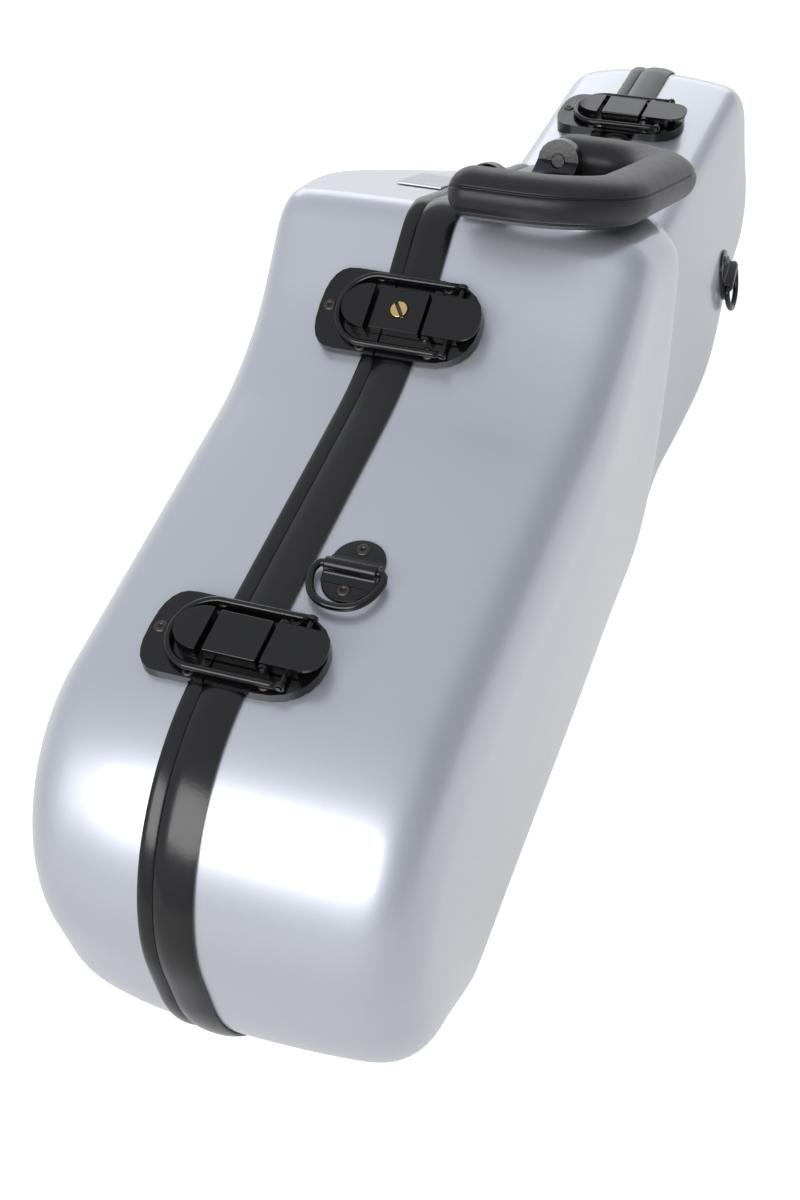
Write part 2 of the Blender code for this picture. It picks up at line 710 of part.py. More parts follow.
def add_shells(build, look):
    """The two glass-fibre half shells."""
    for name, half, body in (("base_shell", BASE, "base"), ("lid_shell", LID, "lid")):
        build.add(shell_wall(name, half, 0, WALL_THICKNESS), body, look["silver_lacquer"])


def rim_path():
    """Points and outward directions along the outline, from spine to spine round the latch side."""
    bow, latch_side, neck, _ = seam_outline()
    path = np.vstack([bow, latch_side, neck])
    run = np.diff(path, axis=0)
    run /= np.linalg.norm(run, axis=1)[:, None]
    left = np.stack([-run[:, 1], run[:, 0]], 1)
    left = np.vstack([left[:1], left, left[-1:]])
    normal = left[:-1] + left[1:]
    return path, normal / (np.linalg.norm(normal, axis=1) ** 2)[:, None] * 2


def strip_profile(width, proud, edge, side):
    """Section of a rim strip as pairs of y and height above the shell."""
    y = HALF_GAP + (width - HALF_GAP) * np.array([0, 0, 0.25, 0.5, 0.75, 1, 1])
    crown = 1 - (np.linspace(-1, 1, 5) ** 2)
    height = np.concatenate([[SEAT_GAP], edge + (proud - edge) * crown, [SEAT_GAP]])
    return [(side * a, float(b)) for a, b in zip(y, height)]


def rim_strip(name, profile):
    """A strip of that section carried along the rim, closed at both ends."""
    path, normal = rim_path()
    mesh = bmesh.new()
    grid = []
    for point, out in zip(path, normal):
        spots = [point + out * height for _, height in profile]
        grid.append([mesh.verts.new((s[0], y, s[1])) for s, (y, _) in zip(spots, profile)])
    count = len(profile)
    for ring, following in zip(grid, grid[1:]):
        for i in range(count):
            j = (i + 1) % count
            mesh.faces.new((ring[i], following[i], following[j], ring[j]))
    mesh.faces.new(grid[0])
    mesh.faces.new(grid[-1][::-1])
    bmesh.ops.recalc_face_normals(mesh, faces=mesh.faces)
    return from_bmesh(name, mesh)


def add_rim_seals(build, look):
    """The rubber strips that cover the seam."""
    base = strip_profile(BASE_STRIP_WIDTH, BASE_STRIP_PROUD, BASE_STRIP_EDGE, -1)
    lid = strip_profile(LID_STRIP_WIDTH, LID_STRIP_PROUD, LID_STRIP_EDGE, 1)
    build.add(rim_strip("base_rim_seal", base), "base", look["black_rubber"])
    build.add(rim_strip("lid_rim_seal", lid), "lid", look["black_rubber"])


def lined(half):
    """The half as its lining follows it: no corner tighter than the thick lining can turn."""
    return half._replace(shoulder_cut=min(half.shoulder_cut, LINED_SHOULDER_CUT),
                         neck_radius=max(half.neck_radius, LINED_RADIUS),
                         spine_radius=max(half.spine_radius, LINED_RADIUS))


def add_liners(build, look):
    """Padded plush lining inside each shell."""
    for name, half, body in (("base_liner", BASE, "base"), ("lid_liner", LID, "lid")):
        made = shell_wall(name, lined(half), WALL_THICKNESS + LINER_GAP, LINER_THICKNESS, LINER_SETBACK)
        build.add(made, body, look["plush"])


def add_cradles(build, look):
    """Foam blocks, cut to the lining's inside, that hold the instrument."""
    inside = WALL_THICKNESS + LINER_GAP + LINER_THICKNESS + CRADLE_GAP
    room = shell_solid("base_room", lined(BASE), inside, CRADLE_SETBACK)
    deep = BASE_BELL_DEPTH + CUT_OVERRUN
    tall = SHOULDER_HEIGHT + CUT_OVERRUN
    blocks = (("bow_cradle", BOW_CRADLE_X, BOW_NOTCH_RADIUS), ("bell_cradle", BELL_CRADLE_X, BELL_NOTCH_RADIUS),
              ("neck_cradle", NECK_CRADLE_X, NECK_NOTCH_RADIUS))
    for name, x, radius in blocks:
        half_length = CRADLE_LENGTH / 2
        made = box(name, (x - half_length, -deep, -CUT_OVERRUN), (x + half_length, 0, tall))
        z = CRADLE_NOTCH_SHARE * float(outline_height(x))
        notch = rod(name + "_notch", (x - CRADLE_LENGTH, -CRADLE_SETBACK, z),
                    (x + CRADLE_LENGTH, -CRADLE_SETBACK, z), radius, 20)
        build.add(made, "base", look["plush"], tools=(("INTERSECT", room), ("DIFFERENCE", notch)))
    lid_room = shell_solid("lid_room", lined(LID), inside, LID_PAD_SETBACK)
    half_length = LID_PAD_LENGTH / 2
    pad = box("lid_pad", (LID_PAD_X - half_length, 0, -CUT_OVERRUN),
              (LID_PAD_X + half_length, LID_BELL_DEPTH + CUT_OVERRUN, tall))
    build.add(pad, "lid", look["plush"], tools=(("INTERSECT", lid_room),))


def add_feet(build, look):
    """Four rubber feet that the closed case stands on."""
    places = (("foot_base_bow", BASE, "base", FOOT_BOW_X, -BASE_FOOT_Y),
              ("foot_base_neck", BASE, "base", FOOT_NECK_X, -BASE_FOOT_Y),
              ("foot_lid_bow", LID, "lid", FOOT_BOW_X, LID_FOOT_Y),
              ("foot_lid_neck", LID, "lid", FOOT_NECK_X, LID_FOOT_Y))
    for name, half, body, x, y in places:
        made = rod(name, (x, y, -FOOT_HEIGHT), (x, y, FOOT_RADIUS), FOOT_RADIUS, 20)
        build.add(made, body, look["black_rubber"], tools=(("DIFFERENCE", build.seat(half)),))


def hinge_leaf(name, x, side, ranges):
    """A leaf plate in one half, with its knuckles round the pin."""
    half_length = HINGE_LENGTH / 2
    low = sorted((side * LEAF_EDGE_GAP, side * (LEAF_EDGE_GAP + HINGE_LEAF_WIDTH)))
    plate = box(name, (x - half_length, low[0], -HINGE_LEAF_THICKNESS - SEAT_GAP),
                (x + half_length, low[1], HINGE_LEAF_THICKNESS))
    tools = []
    for k, (first, last) in enumerate(ranges):
        a = x - half_length + HINGE_LENGTH * first + KNUCKLE_GAP
        b = x - half_length + HINGE_LENGTH * last - KNUCKLE_GAP
        knuckle = rod(f"{name}_knuckle_{k}", (a, 0, -HINGE_AXIS_DROP), (b, 0, -HINGE_AXIS_DROP), KNUCKLE_RADIUS)
        ends = sorted((side * LEAF_EDGE_GAP * 1.5, side * (LEAF_EDGE_GAP + KNUCKLE_RADIUS)))
        web = box(f"{name}_web_{k}", (a + KNUCKLE_GAP, ends[0], -HINGE_AXIS_DROP),
                  (b - KNUCKLE_GAP, ends[1], -HINGE_LEAF_THICKNESS / 2))
        tools += [("UNION", web), ("UNION", knuckle)]
    bore = rod(name + "_bore", (x - HINGE_LENGTH, 0, -HINGE_AXIS_DROP), (x + HINGE_LENGTH, 0, -HINGE_AXIS_DROP),
               HINGE_PIN_RADIUS + PIN_CLEARANCE)
    tools.append(("DIFFERENCE", bore))
    return plate, tools


def add_hinges(build, look):
    """Three spine hinges: a leaf on each half and a headed pin."""
    a, b, c, d = KNUCKLE_SHARES
    for which, share in zip(HINGE_NAMES, HINGE_X_SHARES):
        x = CASE_LENGTH * share
        plate, tools = hinge_leaf(f"hinge_{which}_base_leaf", x, -1, ((a, b), (c, d)))
        tools.insert(0, ("DIFFERENCE", build.seat(BASE)))
        build.add(plate, "base", look["black_lacquer"], tools=tools)
        plate, tools = hinge_leaf(f"hinge_{which}_lid_leaf", x, 1, ((b, c),))
        tools.insert(0, ("DIFFERENCE", build.seat(LID)))
        build.add(plate, "lid", look["black_lacquer"], tools=tools)
        reach = HINGE_LENGTH / 2
        pin = rod(f"hinge_{which}_pin", (x - reach - SEAT_GAP, 0, -HINGE_AXIS_DROP),
                  (x + reach + SEAT_GAP, 0, -HINGE_AXIS_DROP), HINGE_PIN_RADIUS)
        tools = []
        for side in (-1, 1):
            start = x + side * reach
            head = rod(f"hinge_{which}_pin_head_{side + 1}", (start, 0, -HINGE_AXIS_DROP),
                       (start + side * HINGE_PIN_HEAD_LENGTH, 0, -HINGE_AXIS_DROP), HINGE_PIN_HEAD_RADIUS)
            tools.append(("UNION", head))
        build.add(pin, "base", look["steel"], tools=tools)


def latch_frame(share):
    """Frame of a latch on the latch side: u along the slope, v towards the lid, w outwards."""
    x = CASE_LENGTH * share
    z, slope = outline_frame(x)
    return Matrix.Translation((x, 0, float(z))) @ Matrix.Rotation(-slope, 4, "Y")


def rivets(name, places, top=PLATE_TOP, radius=RIVET_RADIUS, top_radius=RIVET_TOP_RADIUS):
    """Low conical rivet heads on a plate, as Boolean steps."""
    heads = [rod(f"{name}_rivet_{k}", (u, v, top - RIVET_PROUD / 2), (u, v, top + RIVET_PROUD),
                 radius, 12, top_radius) for k, (u, v) in enumerate(places)]
    return [("UNION", head) for head in heads]


def latch_keeper(build, look, which, frame):
    """The lid's plate with the raised half-round boss that the bail goes round."""
    straight = KEEPER_LENGTH - KEEPER_ROUND
    points = [(-LATCH_WIDTH / 2, PLATE_GAP), (LATCH_WIDTH / 2, PLATE_GAP)]
    points += round_end(LATCH_WIDTH / 2, straight, KEEPER_ROUND, KEEPER_POWER, 12, 1)
    name = f"latch_{which}_keeper"
    plate = outline_plate(name, points, -PLATE_TOP, PLATE_TOP)
    rounded = round_end(BOSS_WIDTH / 2, BOSS_CENTRE, BOSS_ROUND, 2, 12, 1)
    outline = [(-BOSS_WIDTH / 2, BOSS_START), (BOSS_WIDTH / 2, BOSS_START)] + rounded
    boss = outline_plate(name + "_boss", outline, PLATE_TOP / 2, LATCH_TOP)
    tools = [("DIFFERENCE", build.seat(LID)), ("DIFFERENCE", build.rim_room(LID)), ("UNION", boss)]
    tools += rivets(name, ((-RIVET_U, RIVET_V), (RIVET_U, RIVET_V)))
    tools += rivets(name + "_end", ((0, KEEPER_LENGTH - RIVET_END_INSET),), PLATE_TOP,
                    END_RIVET_RADIUS, END_RIVET_TOP_RADIUS)
    build.add(plate, "lid", look["black_lacquer"], frame, tools)


def latch_base(build, look, which, frame):
    """The base's plate with the two ears that carry the lever's pin."""
    straight = BASE_PLATE_LENGTH - BASE_PLATE_ROUND
    points = [(LATCH_WIDTH / 2, -PLATE_GAP), (-LATCH_WIDTH / 2, -PLATE_GAP)]
    ends = round_end(LATCH_WIDTH / 2, straight, BASE_PLATE_ROUND, BASE_PLATE_POWER, 12, -1)
    name = f"latch_{which}_base"
    plate = outline_plate(name, points + ends[::-1], -PLATE_TOP, PLATE_TOP)
    tools = [("DIFFERENCE", build.seat(BASE)), ("DIFFERENCE", build.rim_room(BASE))]
    for side in (-1, 1):
        inner = side * (COVER_WIDTH / 2 + EAR_GAP)
        outer = inner + side * EAR_THICKNESS
        post = box(f"{name}_post_{side + 1}", (min(inner, outer), -LEVER_PIVOT_V - EAR_RADIUS, PLATE_TOP / 2),
                   (max(inner, outer), -LEVER_PIVOT_V + EAR_RADIUS, LEVER_PIVOT_W))
        eye = rod(f"{name}_ear_{side + 1}", (inner, -LEVER_PIVOT_V, LEVER_PIVOT_W),
                  (outer, -LEVER_PIVOT_V, LEVER_PIVOT_W), EAR_RADIUS)
        tools += [("UNION", post), ("UNION", eye)]
    tools += rivets(name, ((-BASE_RIVET_U, -BASE_RIVET_V), (BASE_RIVET_U, -BASE_RIVET_V)))
    bore = rod(name + "_bore", (-LATCH_WIDTH, -LEVER_PIVOT_V, LEVER_PIVOT_W),
               (LATCH_WIDTH, -LEVER_PIVOT_V, LEVER_PIVOT_W), PIVOT_PIN_RADIUS + PIN_CLEARANCE)
    tools.append(("DIFFERENCE", bore))
    build.add(plate, "base", look["black_lacquer"], frame, tools)
    reach = COVER_WIDTH / 2 + EAR_GAP + EAR_THICKNESS + EAR_GAP
    pin = rod(f"latch_{which}_pivot_pin", (-reach, -LEVER_PIVOT_V, LEVER_PIVOT_W),
              (reach, -LEVER_PIVOT_V, LEVER_PIVOT_W), PIVOT_PIN_RADIUS)
    build.add(pin, "base", look["steel"], frame)


def latch_cover(build, look, which, frame):
    """The fixed housing over the seam, open below and towards the lever."""
    half = COVER_WIDTH / 2
    foot = PLATE_TOP + SEAT_GAP
    name = f"latch_{which}_cover"
    body = box(name, (-half, -COVER_REAR, foot), (half, COVER_FRONT, LATCH_TOP))
    hollow = box(name + "_hollow", (SHEET - half, -COVER_REAR - CUT_OVERRUN, 0),
                 (half - SHEET, COVER_FRONT - SHEET, LATCH_TOP - SHEET))
    tools = [("DIFFERENCE", hollow)]
    if which == "bell":
        v = (COVER_FRONT - COVER_REAR) / 2
        high = LATCH_TOP + CUT_OVERRUN
        hole = rod(name + "_lock_hole", (0, v, 0), (0, v, high), LOCK_RADIUS + PIN_CLEARANCE, 20)
        tools.append(("DIFFERENCE", hole))
        top = LATCH_TOP + LOCK_PROUD
        barrel = rod("lock_barrel", (0, v, LATCH_TOP - LOCK_DEPTH), (0, v, top), LOCK_RADIUS, 20)
        slot = box("lock_slot", (-LOCK_SLOT / 2, -LOCK_RADIUS * 2, top - LOCK_SLOT_DEPTH),
                   (LOCK_SLOT / 2, LOCK_RADIUS * 2, top + CUT_OVERRUN))
        turn = Matrix.Rotation(math.radians(LOCK_SLOT_DEGREES), 4, "Z")
        slot.data.transform(Matrix.Translation((0, v, 0)) @ turn)
        build.add(barrel, "lock", look["brass"], frame, (("DIFFERENCE", slot),))
    build.add(body, "base", look["black_lacquer"], frame, tools)


def latch_lever(build, look, which, frame):
    """The finger tab with its two skirts and the stub pins that carry the bail."""
    half = COVER_WIDTH / 2
    name = f"latch_{which}_lever"
    straight = LEVER_END - LEVER_ROUND
    points = [(half, -LEVER_NEAR), (-half, -LEVER_NEAR)]
    points += round_end(half, straight, LEVER_ROUND, LEVER_POWER, 10, -1)[::-1]
    tab = outline_plate(name, points, LATCH_TOP - SHEET, LATCH_TOP)
    tools = []
    low_v = -LEVER_PIVOT_V - BAIL_ARM
    low_w = LEVER_PIVOT_W - BAIL_DROP
    for side in (-1, 1):
        inner = side * (half - SHEET)
        outer = side * half
        skirt = box(f"{name}_skirt_{side + 1}", (min(inner, outer), -LEVER_SKIRT_END, LEVER_SKIRT_LOW),
                    (max(inner, outer), -LEVER_NEAR, LATCH_TOP - SHEET / 2))
        reach = side * (BAIL_HALF_WIDTH + BAIL_EYE_THICKNESS / 2 + EAR_GAP)
        stub = rod(f"{name}_stub_{side + 1}", (inner, low_v, low_w), (reach, low_v, low_w), STUB_RADIUS, 12)
        tools += [("UNION", skirt), ("UNION", stub)]
    bore = rod(name + "_bore", (-LATCH_WIDTH, -LEVER_PIVOT_V, LEVER_PIVOT_W),
               (LATCH_WIDTH, -LEVER_PIVOT_V, LEVER_PIVOT_W), PIVOT_PIN_RADIUS + PIN_CLEARANCE)
    tools.append(("DIFFERENCE", bore))
    build.add(tab, f"lever_{which}", look["black_lacquer"], frame, tools)


def latch_bail(build, look, which, frame):
    """The wire loop from the lever's stub pins round the keeper's boss."""
    v_pin = -LEVER_PIVOT_V - BAIL_ARM
    w_pin = LEVER_PIVOT_W - BAIL_DROP
    half = BAIL_HALF_WIDTH
    angles = np.linspace(0, math.pi, 13)
    ring = [(half * math.cos(a), BAIL_CENTRE + BAIL_ROUND * math.sin(a)) for a in angles]
    start = v_pin + BAIL_EYE_RADIUS * 0.75
    plan = [(half, start)] + ring + [(-half, start)]
    slope = (BAIL_END_W - w_pin) / (BAIL_CENTRE + BAIL_ROUND - v_pin)
    points = [(u, v, w_pin + slope * (v - v_pin)) for u, v in plan]
    name = f"latch_{which}_bail"
    wire = tube(name, points, BAIL_WIRE_RADIUS, 1)
    tools = []
    for side in (-1, 1):
        inner = side * (half - BAIL_EYE_THICKNESS / 2)
        outer = side * (half + BAIL_EYE_THICKNESS / 2)
        eye = rod(f"{name}_eye_{side + 1}", (inner, v_pin, w_pin), (outer, v_pin, w_pin), BAIL_EYE_RADIUS)
        tools.append(("UNION", eye))
    bore = rod(name + "_bore", (-LATCH_WIDTH, v_pin, w_pin), (LATCH_WIDTH, v_pin, w_pin),
               STUB_RADIUS + PIN_CLEARANCE, 12)
    tools.append(("DIFFERENCE", bore))
    build.add(wire, f"bail_{which}", look["black_lacquer"], frame, tools)


def add_latches(build, look):
    """Three draw latches, with a key barrel in the middle one."""
    for which, share in zip(LATCH_NAMES, LATCH_X_SHARES):
        frame = latch_frame(share)
        latch_keeper(build, look, which, frame)
        latch_base(build, look, which, frame)
        latch_cover(build, look, which, frame)
        latch_lever(build, look, which, frame)
        latch_bail(build, look, which, frame)


def grip_frame():
    """Frame of the grip: u up the slope, v away from the seam, w outwards from the shell."""
    z, slope = outline_frame(GRIP_X)
    along = Vector((-math.cos(slope), 0, -math.sin(slope)))
    out = Vector((-math.sin(slope), 0, math.cos(slope)))
    away = Vector((0, -1, 0))
    frame = Matrix((along, away, out)).transposed().to_4x4()
    return Matrix.Translation((GRIP_X, -GRIP_Y, float(z))) @ frame


def add_saddle(build, look, frame):
    """The saddle bracket: a strip that rises into two round ears, with its screws and pins."""
    high = GRIP_AXIS_HEIGHT
    flat = SADDLE_FLAT / 2
    end = EAR_SPAN / 2
    rise = np.linspace(0, 1, 5)[1:]
    curve = [(flat + (end - flat) * a, SADDLE_THICKNESS + (high - SADDLE_THICKNESS) * a**3) for a in rise]
    top = [(-s, n) for s, n in curve[::-1]] + [(-flat, SADDLE_THICKNESS), (flat, SADDLE_THICKNESS)] + curve
    low = -SADDLE_THICKNESS
    outline = [(-end, low)] + top + [(end, low)]
    strip = outline_plate("handle_saddle", outline, -SADDLE_WIDTH / 2, SADDLE_WIDTH / 2)
    upright = Matrix.Rotation(math.pi / 2, 4, "X")
    strip.data.transform(upright)
    tools = [("DIFFERENCE", build.seat(BASE))]
    for k, side in enumerate((-1, 1)):
        near, far = side * end, side * (end + GRIP_EAR_THICKNESS)
        ear = rod(f"saddle_ear_{k}", (near, 0, high), (far, 0, high), GRIP_EAR_RADIUS, 20)
        root = box(f"saddle_ear_root_{k}", (min(near, far), -SADDLE_WIDTH / 2, SADDLE_THICKNESS / 4),
                   (max(near, far), SADDLE_WIDTH / 2, high))
        well = rod(f"saddle_well_{k}", (side * SADDLE_SCREW_S, 0, SADDLE_THICKNESS - SCREW_HEAD_HEIGHT),
                   (side * SADDLE_SCREW_S, 0, high), SCREW_HEAD_RADIUS + PIN_CLEARANCE)
        hole = rod(f"saddle_hole_{k}", (side * SADDLE_SCREW_S, 0, -high),
                   (side * SADDLE_SCREW_S, 0, high), SCREW_RADIUS + PIN_CLEARANCE)
        tools += [("UNION", ear), ("UNION", root), ("DIFFERENCE", well), ("DIFFERENCE", hole)]
    bore = rod("saddle_bore", (-EAR_SPAN, 0, high), (EAR_SPAN, 0, high), GRIP_PIN_RADIUS + PIN_CLEARANCE)
    tools.append(("DIFFERENCE", bore))
    build.add(strip, "base", look["black_rubber"], frame, tools)
    for k, (which, side) in enumerate((("neck", -1), ("bow", 1))):
        inner = side * (end - PIN_CLEARANCE)
        outer = side * (end + GRIP_EAR_THICKNESS + GRIP_LEG_GAP + GRIP_HALF_WIDTH)
        pin = rod(f"handle_pin_{which}", (inner, 0, high), (outer, 0, high), GRIP_PIN_RADIUS)
        build.add(pin, "base", look["black_lacquer"], frame)
        seat = SADDLE_THICKNESS - SCREW_HEAD_HEIGHT + SEAT_GAP
        s = side * SADDLE_SCREW_S
        top = seat + SCREW_HEAD_HEIGHT
        screw = rod(f"handle_screw_{which}", (s, 0, -SADDLE_THICKNESS), (s, 0, (seat + top) / 2), SCREW_RADIUS)
        head = rod(f"handle_screw_{which}_head", (s, 0, seat), (s, 0, top), SCREW_HEAD_RADIUS)
        tools = (("DIFFERENCE", build.seat(BASE)), ("UNION", head))
        build.add(screw, "base", look["steel"], frame, tools)


def add_grip(build, look, frame):
    """The rubber loop that folds over the deep side: two legs, round corners and the bar, oval in section."""
    leg = EAR_SPAN / 2 + GRIP_EAR_THICKNESS + GRIP_LEG_GAP + GRIP_HALF_WIDTH
    high = GRIP_AXIS_HEIGHT
    bend = GRIP_CORNER_RADIUS
    end_shares = ((-0.98, 0.2), (-0.85, 0.53), (-0.55, 0.84), (0.0, 1.0))
    side = [(leg, GRIP_RADIUS * t, r) for t, r in end_shares]
    for turn in np.linspace(0, math.pi / 2, 6):
        side.append((leg - bend + bend * math.cos(turn), GRIP_REACH - bend + bend * math.sin(turn), 1.0))
    path = side + [(-s, t, r) for s, t, r in side[::-1]]
    swell = [r for _, _, r in path]
    loop = tube("handle_grip", [(s, t, 0) for s, t, _ in path], GRIP_HALF_WIDTH, 3, swell=swell)
    oval = Matrix.Diagonal((1, 1, GRIP_RADIUS / GRIP_HALF_WIDTH, 1))
    loop.data.transform(Matrix.Translation((0, 0, high)) @ oval)
    bore = rod("grip_bore", (-leg - PIN_CLEARANCE, 0, high), (leg + PIN_CLEARANCE, 0, high),
               GRIP_PIN_RADIUS + PIN_CLEARANCE)
    build.add(loop, "grip", look["black_rubber"], frame, (("DIFFERENCE", bore),))


def ring_bracket(build, look, name, frame, half):
    """A plate with round ends and a raised bridge over the ring's straight bar."""
    long, wide = RING_BRACKET_LENGTH / 2, RING_BRACKET_WIDTH / 2
    bend = long - wide
    angles = np.linspace(-math.pi / 2, math.pi / 2, 9)
    right = [(bend + wide * math.cos(a), wide * math.sin(a)) for a in angles]
    outline = [(u - RING_PLATE_SHIFT, v) for u, v in right + [(-u, -v) for u, v in right]]
    plate = outline_plate(name, outline, -RING_BRIDGE_HEIGHT, RING_PLATE_THICKNESS)
    across = RING_BRIDGE_LENGTH / 2
    bridge = box(name + "_bridge", (-across, -wide, RING_PLATE_THICKNESS / 2),
                 (across, wide, RING_BRIDGE_HEIGHT))
    bore = rod(name + "_bore", (0, -RING_BRACKET_LENGTH, RING_AXIS_HEIGHT),
               (0, RING_BRACKET_LENGTH, RING_AXIS_HEIGHT), RING_WIRE_RADIUS + RING_BORE_CLEARANCE)
    tools = [("DIFFERENCE", build.seat(half)), ("UNION", bridge), ("DIFFERENCE", bore)]
    places = [(side * RING_RIVET_U - RING_PLATE_SHIFT, 0) for side in (-1, 1)]
    tools += rivets(name, places, RING_PLATE_THICKNESS, END_RIVET_RADIUS, END_RIVET_TOP_RADIUS)
    build.add(plate, "base", look["black_lacquer"], frame, tools)


def strap_ring(build, look, name, body, frame):
    """A D-shaped ring: a straight bar in the bridge and a half-round loop."""
    half = RING_HALF_WIDTH
    angles = np.linspace(RING_TURN_INSET, math.pi - RING_TURN_INSET, 11)
    loop = [(-RING_REACH * math.sin(a), half * math.cos(a)) for a in angles]
    bar = [(0, half * share) for share in RING_BAR_SHARES]
    points = [(u, v, RING_AXIS_HEIGHT) for u, v in loop + bar]
    build.add(tube(name, points, RING_WIRE_RADIUS, 2, cyclic=True), body, look["black_lacquer"], frame)


def bow_ring_frame():
    """Frame of the strap ring on the latch side: u along the case, v across, w up."""
    z, slope = outline_frame(BOW_RING_X)
    place = Matrix.Translation((BOW_RING_X, -BOW_RING_Y, float(z) - WALL_CROWN / 4))
    return place @ Matrix.Rotation(-slope, 4, "Y")


def neck_ring_frame():
    """Frame of the strap ring on the deep side near the neck: u up, v along, w out of the side."""
    x, z = NECK_RING_X, NECK_RING_Z
    step = RING_BRACKET_LENGTH / 2
    low, high = (float(side_depth(BASE, x, z + k)) for k in (-step, step))
    bow, neck = (float(side_depth(BASE, x + k, z)) for k in (-step, step))
    rise, run = (high - low) / (2 * step), (neck - bow) / (2 * step)
    up = Vector((0, -rise, 1)).normalized()
    out = Vector((-run, -1, -rise)).normalized()
    along = out.cross(up)
    frame = Matrix((up, along, out)).transposed().to_4x4()
    depth = float(side_depth(BASE, x, z)) + BASE_DOME * 0.75
    return Matrix.Translation((x, -depth, z)) @ frame


def add_strap_rings(build, look):
    """The two strap rings of the carrying strap."""
    for which, frame in (("bow", bow_ring_frame()), ("neck", neck_ring_frame())):
        ring_bracket(build, look, f"strap_bracket_{which}", frame, BASE)
        strap_ring(build, look, f"strap_ring_{which}", f"ring_{which}", frame)


def add_badge(build, look):
    """The bare badge plate on the lid behind the bell."""
    z, slope = outline_frame(BADGE_X)
    frame = Matrix.Translation((BADGE_X, BADGE_Y, float(z))) @ Matrix.Rotation(-slope, 4, "Y")
    long, wide = BADGE_LENGTH / 2, BADGE_WIDTH / 2
    plate = box("badge_plate", (-long, -wide, -BADGE_THICKNESS), (long, wide, BADGE_THICKNESS + SEAT_GAP))
    build.add(plate, "lid", look["steel"], frame, (("DIFFERENCE", build.seat(LID)),))


def add_bodies(build):
    """An empty on every joint's axis."""
    build.body("base")
    build.body("lid", (CASE_LENGTH / 2, 0, -HINGE_AXIS_DROP))
    for which, share in zip(LATCH_NAMES, LATCH_X_SHARES):
        frame = latch_frame(share)
        build.body(f"lever_{which}", frame @ Vector((0, -LEVER_PIVOT_V, LEVER_PIVOT_W)))
        pin = Vector((0, -LEVER_PIVOT_V - BAIL_ARM, LEVER_PIVOT_W - BAIL_DROP))
        build.body(f"bail_{which}", frame @ pin)
        if which == "bell":
            build.body("lock", frame @ Vector((0, (COVER_FRONT - COVER_REAR) / 2, LATCH_TOP)))
    build.body("grip", grip_frame() @ Vector((0, 0, GRIP_AXIS_HEIGHT)))
    build.body("ring_bow", bow_ring_frame() @ Vector((0, 0, RING_AXIS_HEIGHT)))
    build.body("ring_neck", neck_ring_frame() @ Vector((0, 0, RING_AXIS_HEIGHT)))


# The base is deeper than the lid, so the parting plane lies off the middle of the case
ORIGIN = case_origin()


def main():
    """Build the case."""
    clear_scene()
    build = Build()
    look = looks()
    add_bodies(build)
    add_shells(build, look)
    add_rim_seals(build, look)
    add_liners(build, look)
    add_cradles(build, look)
    add_feet(build, look)
    add_hinges(build, look)
    add_latches(build, look)
    frame = grip_frame()
    add_saddle(build, look, frame)
    add_grip(build, look, frame)
    add_strap_rings(build, look)
    add_badge(build, look)


main()
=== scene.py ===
"""Looks of the alto saxophone case: lacquered shells, rubber seals and grip, pressed latches, plush.

Every piece is worked out in case coordinates (x from the bow end to the neck end, y from the seam
towards the lid, z up from the spine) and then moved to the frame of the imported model.
"""
import json
import math

import bmesh
import bpy
import numpy as np
from mathutils import Matrix, Vector

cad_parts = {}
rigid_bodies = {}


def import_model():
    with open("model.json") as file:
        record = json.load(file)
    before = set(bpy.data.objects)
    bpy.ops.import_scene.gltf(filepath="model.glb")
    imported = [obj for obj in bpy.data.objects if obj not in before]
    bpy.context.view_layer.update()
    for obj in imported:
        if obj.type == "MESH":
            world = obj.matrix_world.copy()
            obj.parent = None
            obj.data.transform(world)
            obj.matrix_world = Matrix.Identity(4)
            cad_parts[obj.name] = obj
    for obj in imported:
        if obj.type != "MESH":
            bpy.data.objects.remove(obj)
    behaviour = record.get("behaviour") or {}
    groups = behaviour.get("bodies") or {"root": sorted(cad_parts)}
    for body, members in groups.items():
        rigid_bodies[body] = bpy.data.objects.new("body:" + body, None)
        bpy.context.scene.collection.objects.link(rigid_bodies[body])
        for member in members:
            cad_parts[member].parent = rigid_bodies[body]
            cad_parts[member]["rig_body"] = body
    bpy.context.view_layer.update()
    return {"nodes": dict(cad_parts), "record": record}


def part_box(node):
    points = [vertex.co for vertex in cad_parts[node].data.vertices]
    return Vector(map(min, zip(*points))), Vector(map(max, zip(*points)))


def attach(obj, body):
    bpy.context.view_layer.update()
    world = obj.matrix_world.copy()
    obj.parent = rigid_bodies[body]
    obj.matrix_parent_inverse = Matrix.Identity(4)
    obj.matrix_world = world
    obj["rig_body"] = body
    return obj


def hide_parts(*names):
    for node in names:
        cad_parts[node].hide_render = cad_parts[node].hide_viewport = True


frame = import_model()

CASE_LENGTH = 0.6555
SHOULDER_X = 0.3128
SHELF_END_X = 0.4430
BOW_HEEL_HEIGHT = 0.1085
# Outline in the parting plane: corner x, corner z, corner radius, arc steps of the solids
CORNERS = ((0.1100, 0, 0.057, 4), (0, BOW_HEEL_HEIGHT, 0.0815, 4), (0, 0.2409, 0.0785, 6),
           (0.2485, 0.2379, 0.137, 3), (SHOULDER_X, 0.2688, 0.0205, 4), (SHELF_END_X, 0.1905, 0.022, 3),
           (0.4690, 0.1400, 0.030, 3), (CASE_LENGTH, 0.1097, 0.0275, 4), (CASE_LENGTH, 0, 0.040, 4))
# Points that the solids have inside each straight of the latch side
STRAIGHT_STEPS = (1, 1, 3, 1, 3)
BOW_POLE_INSET = 0.095
NECK_POLE_INSET = 0.055
MEDIAL_SHARE = 0.52
# Half windows over which the latch side's height is averaged
HEIGHT_BLUR = 0.016
MEDIAL_BLUR = 0.030
WINDOW_POINTS = 9
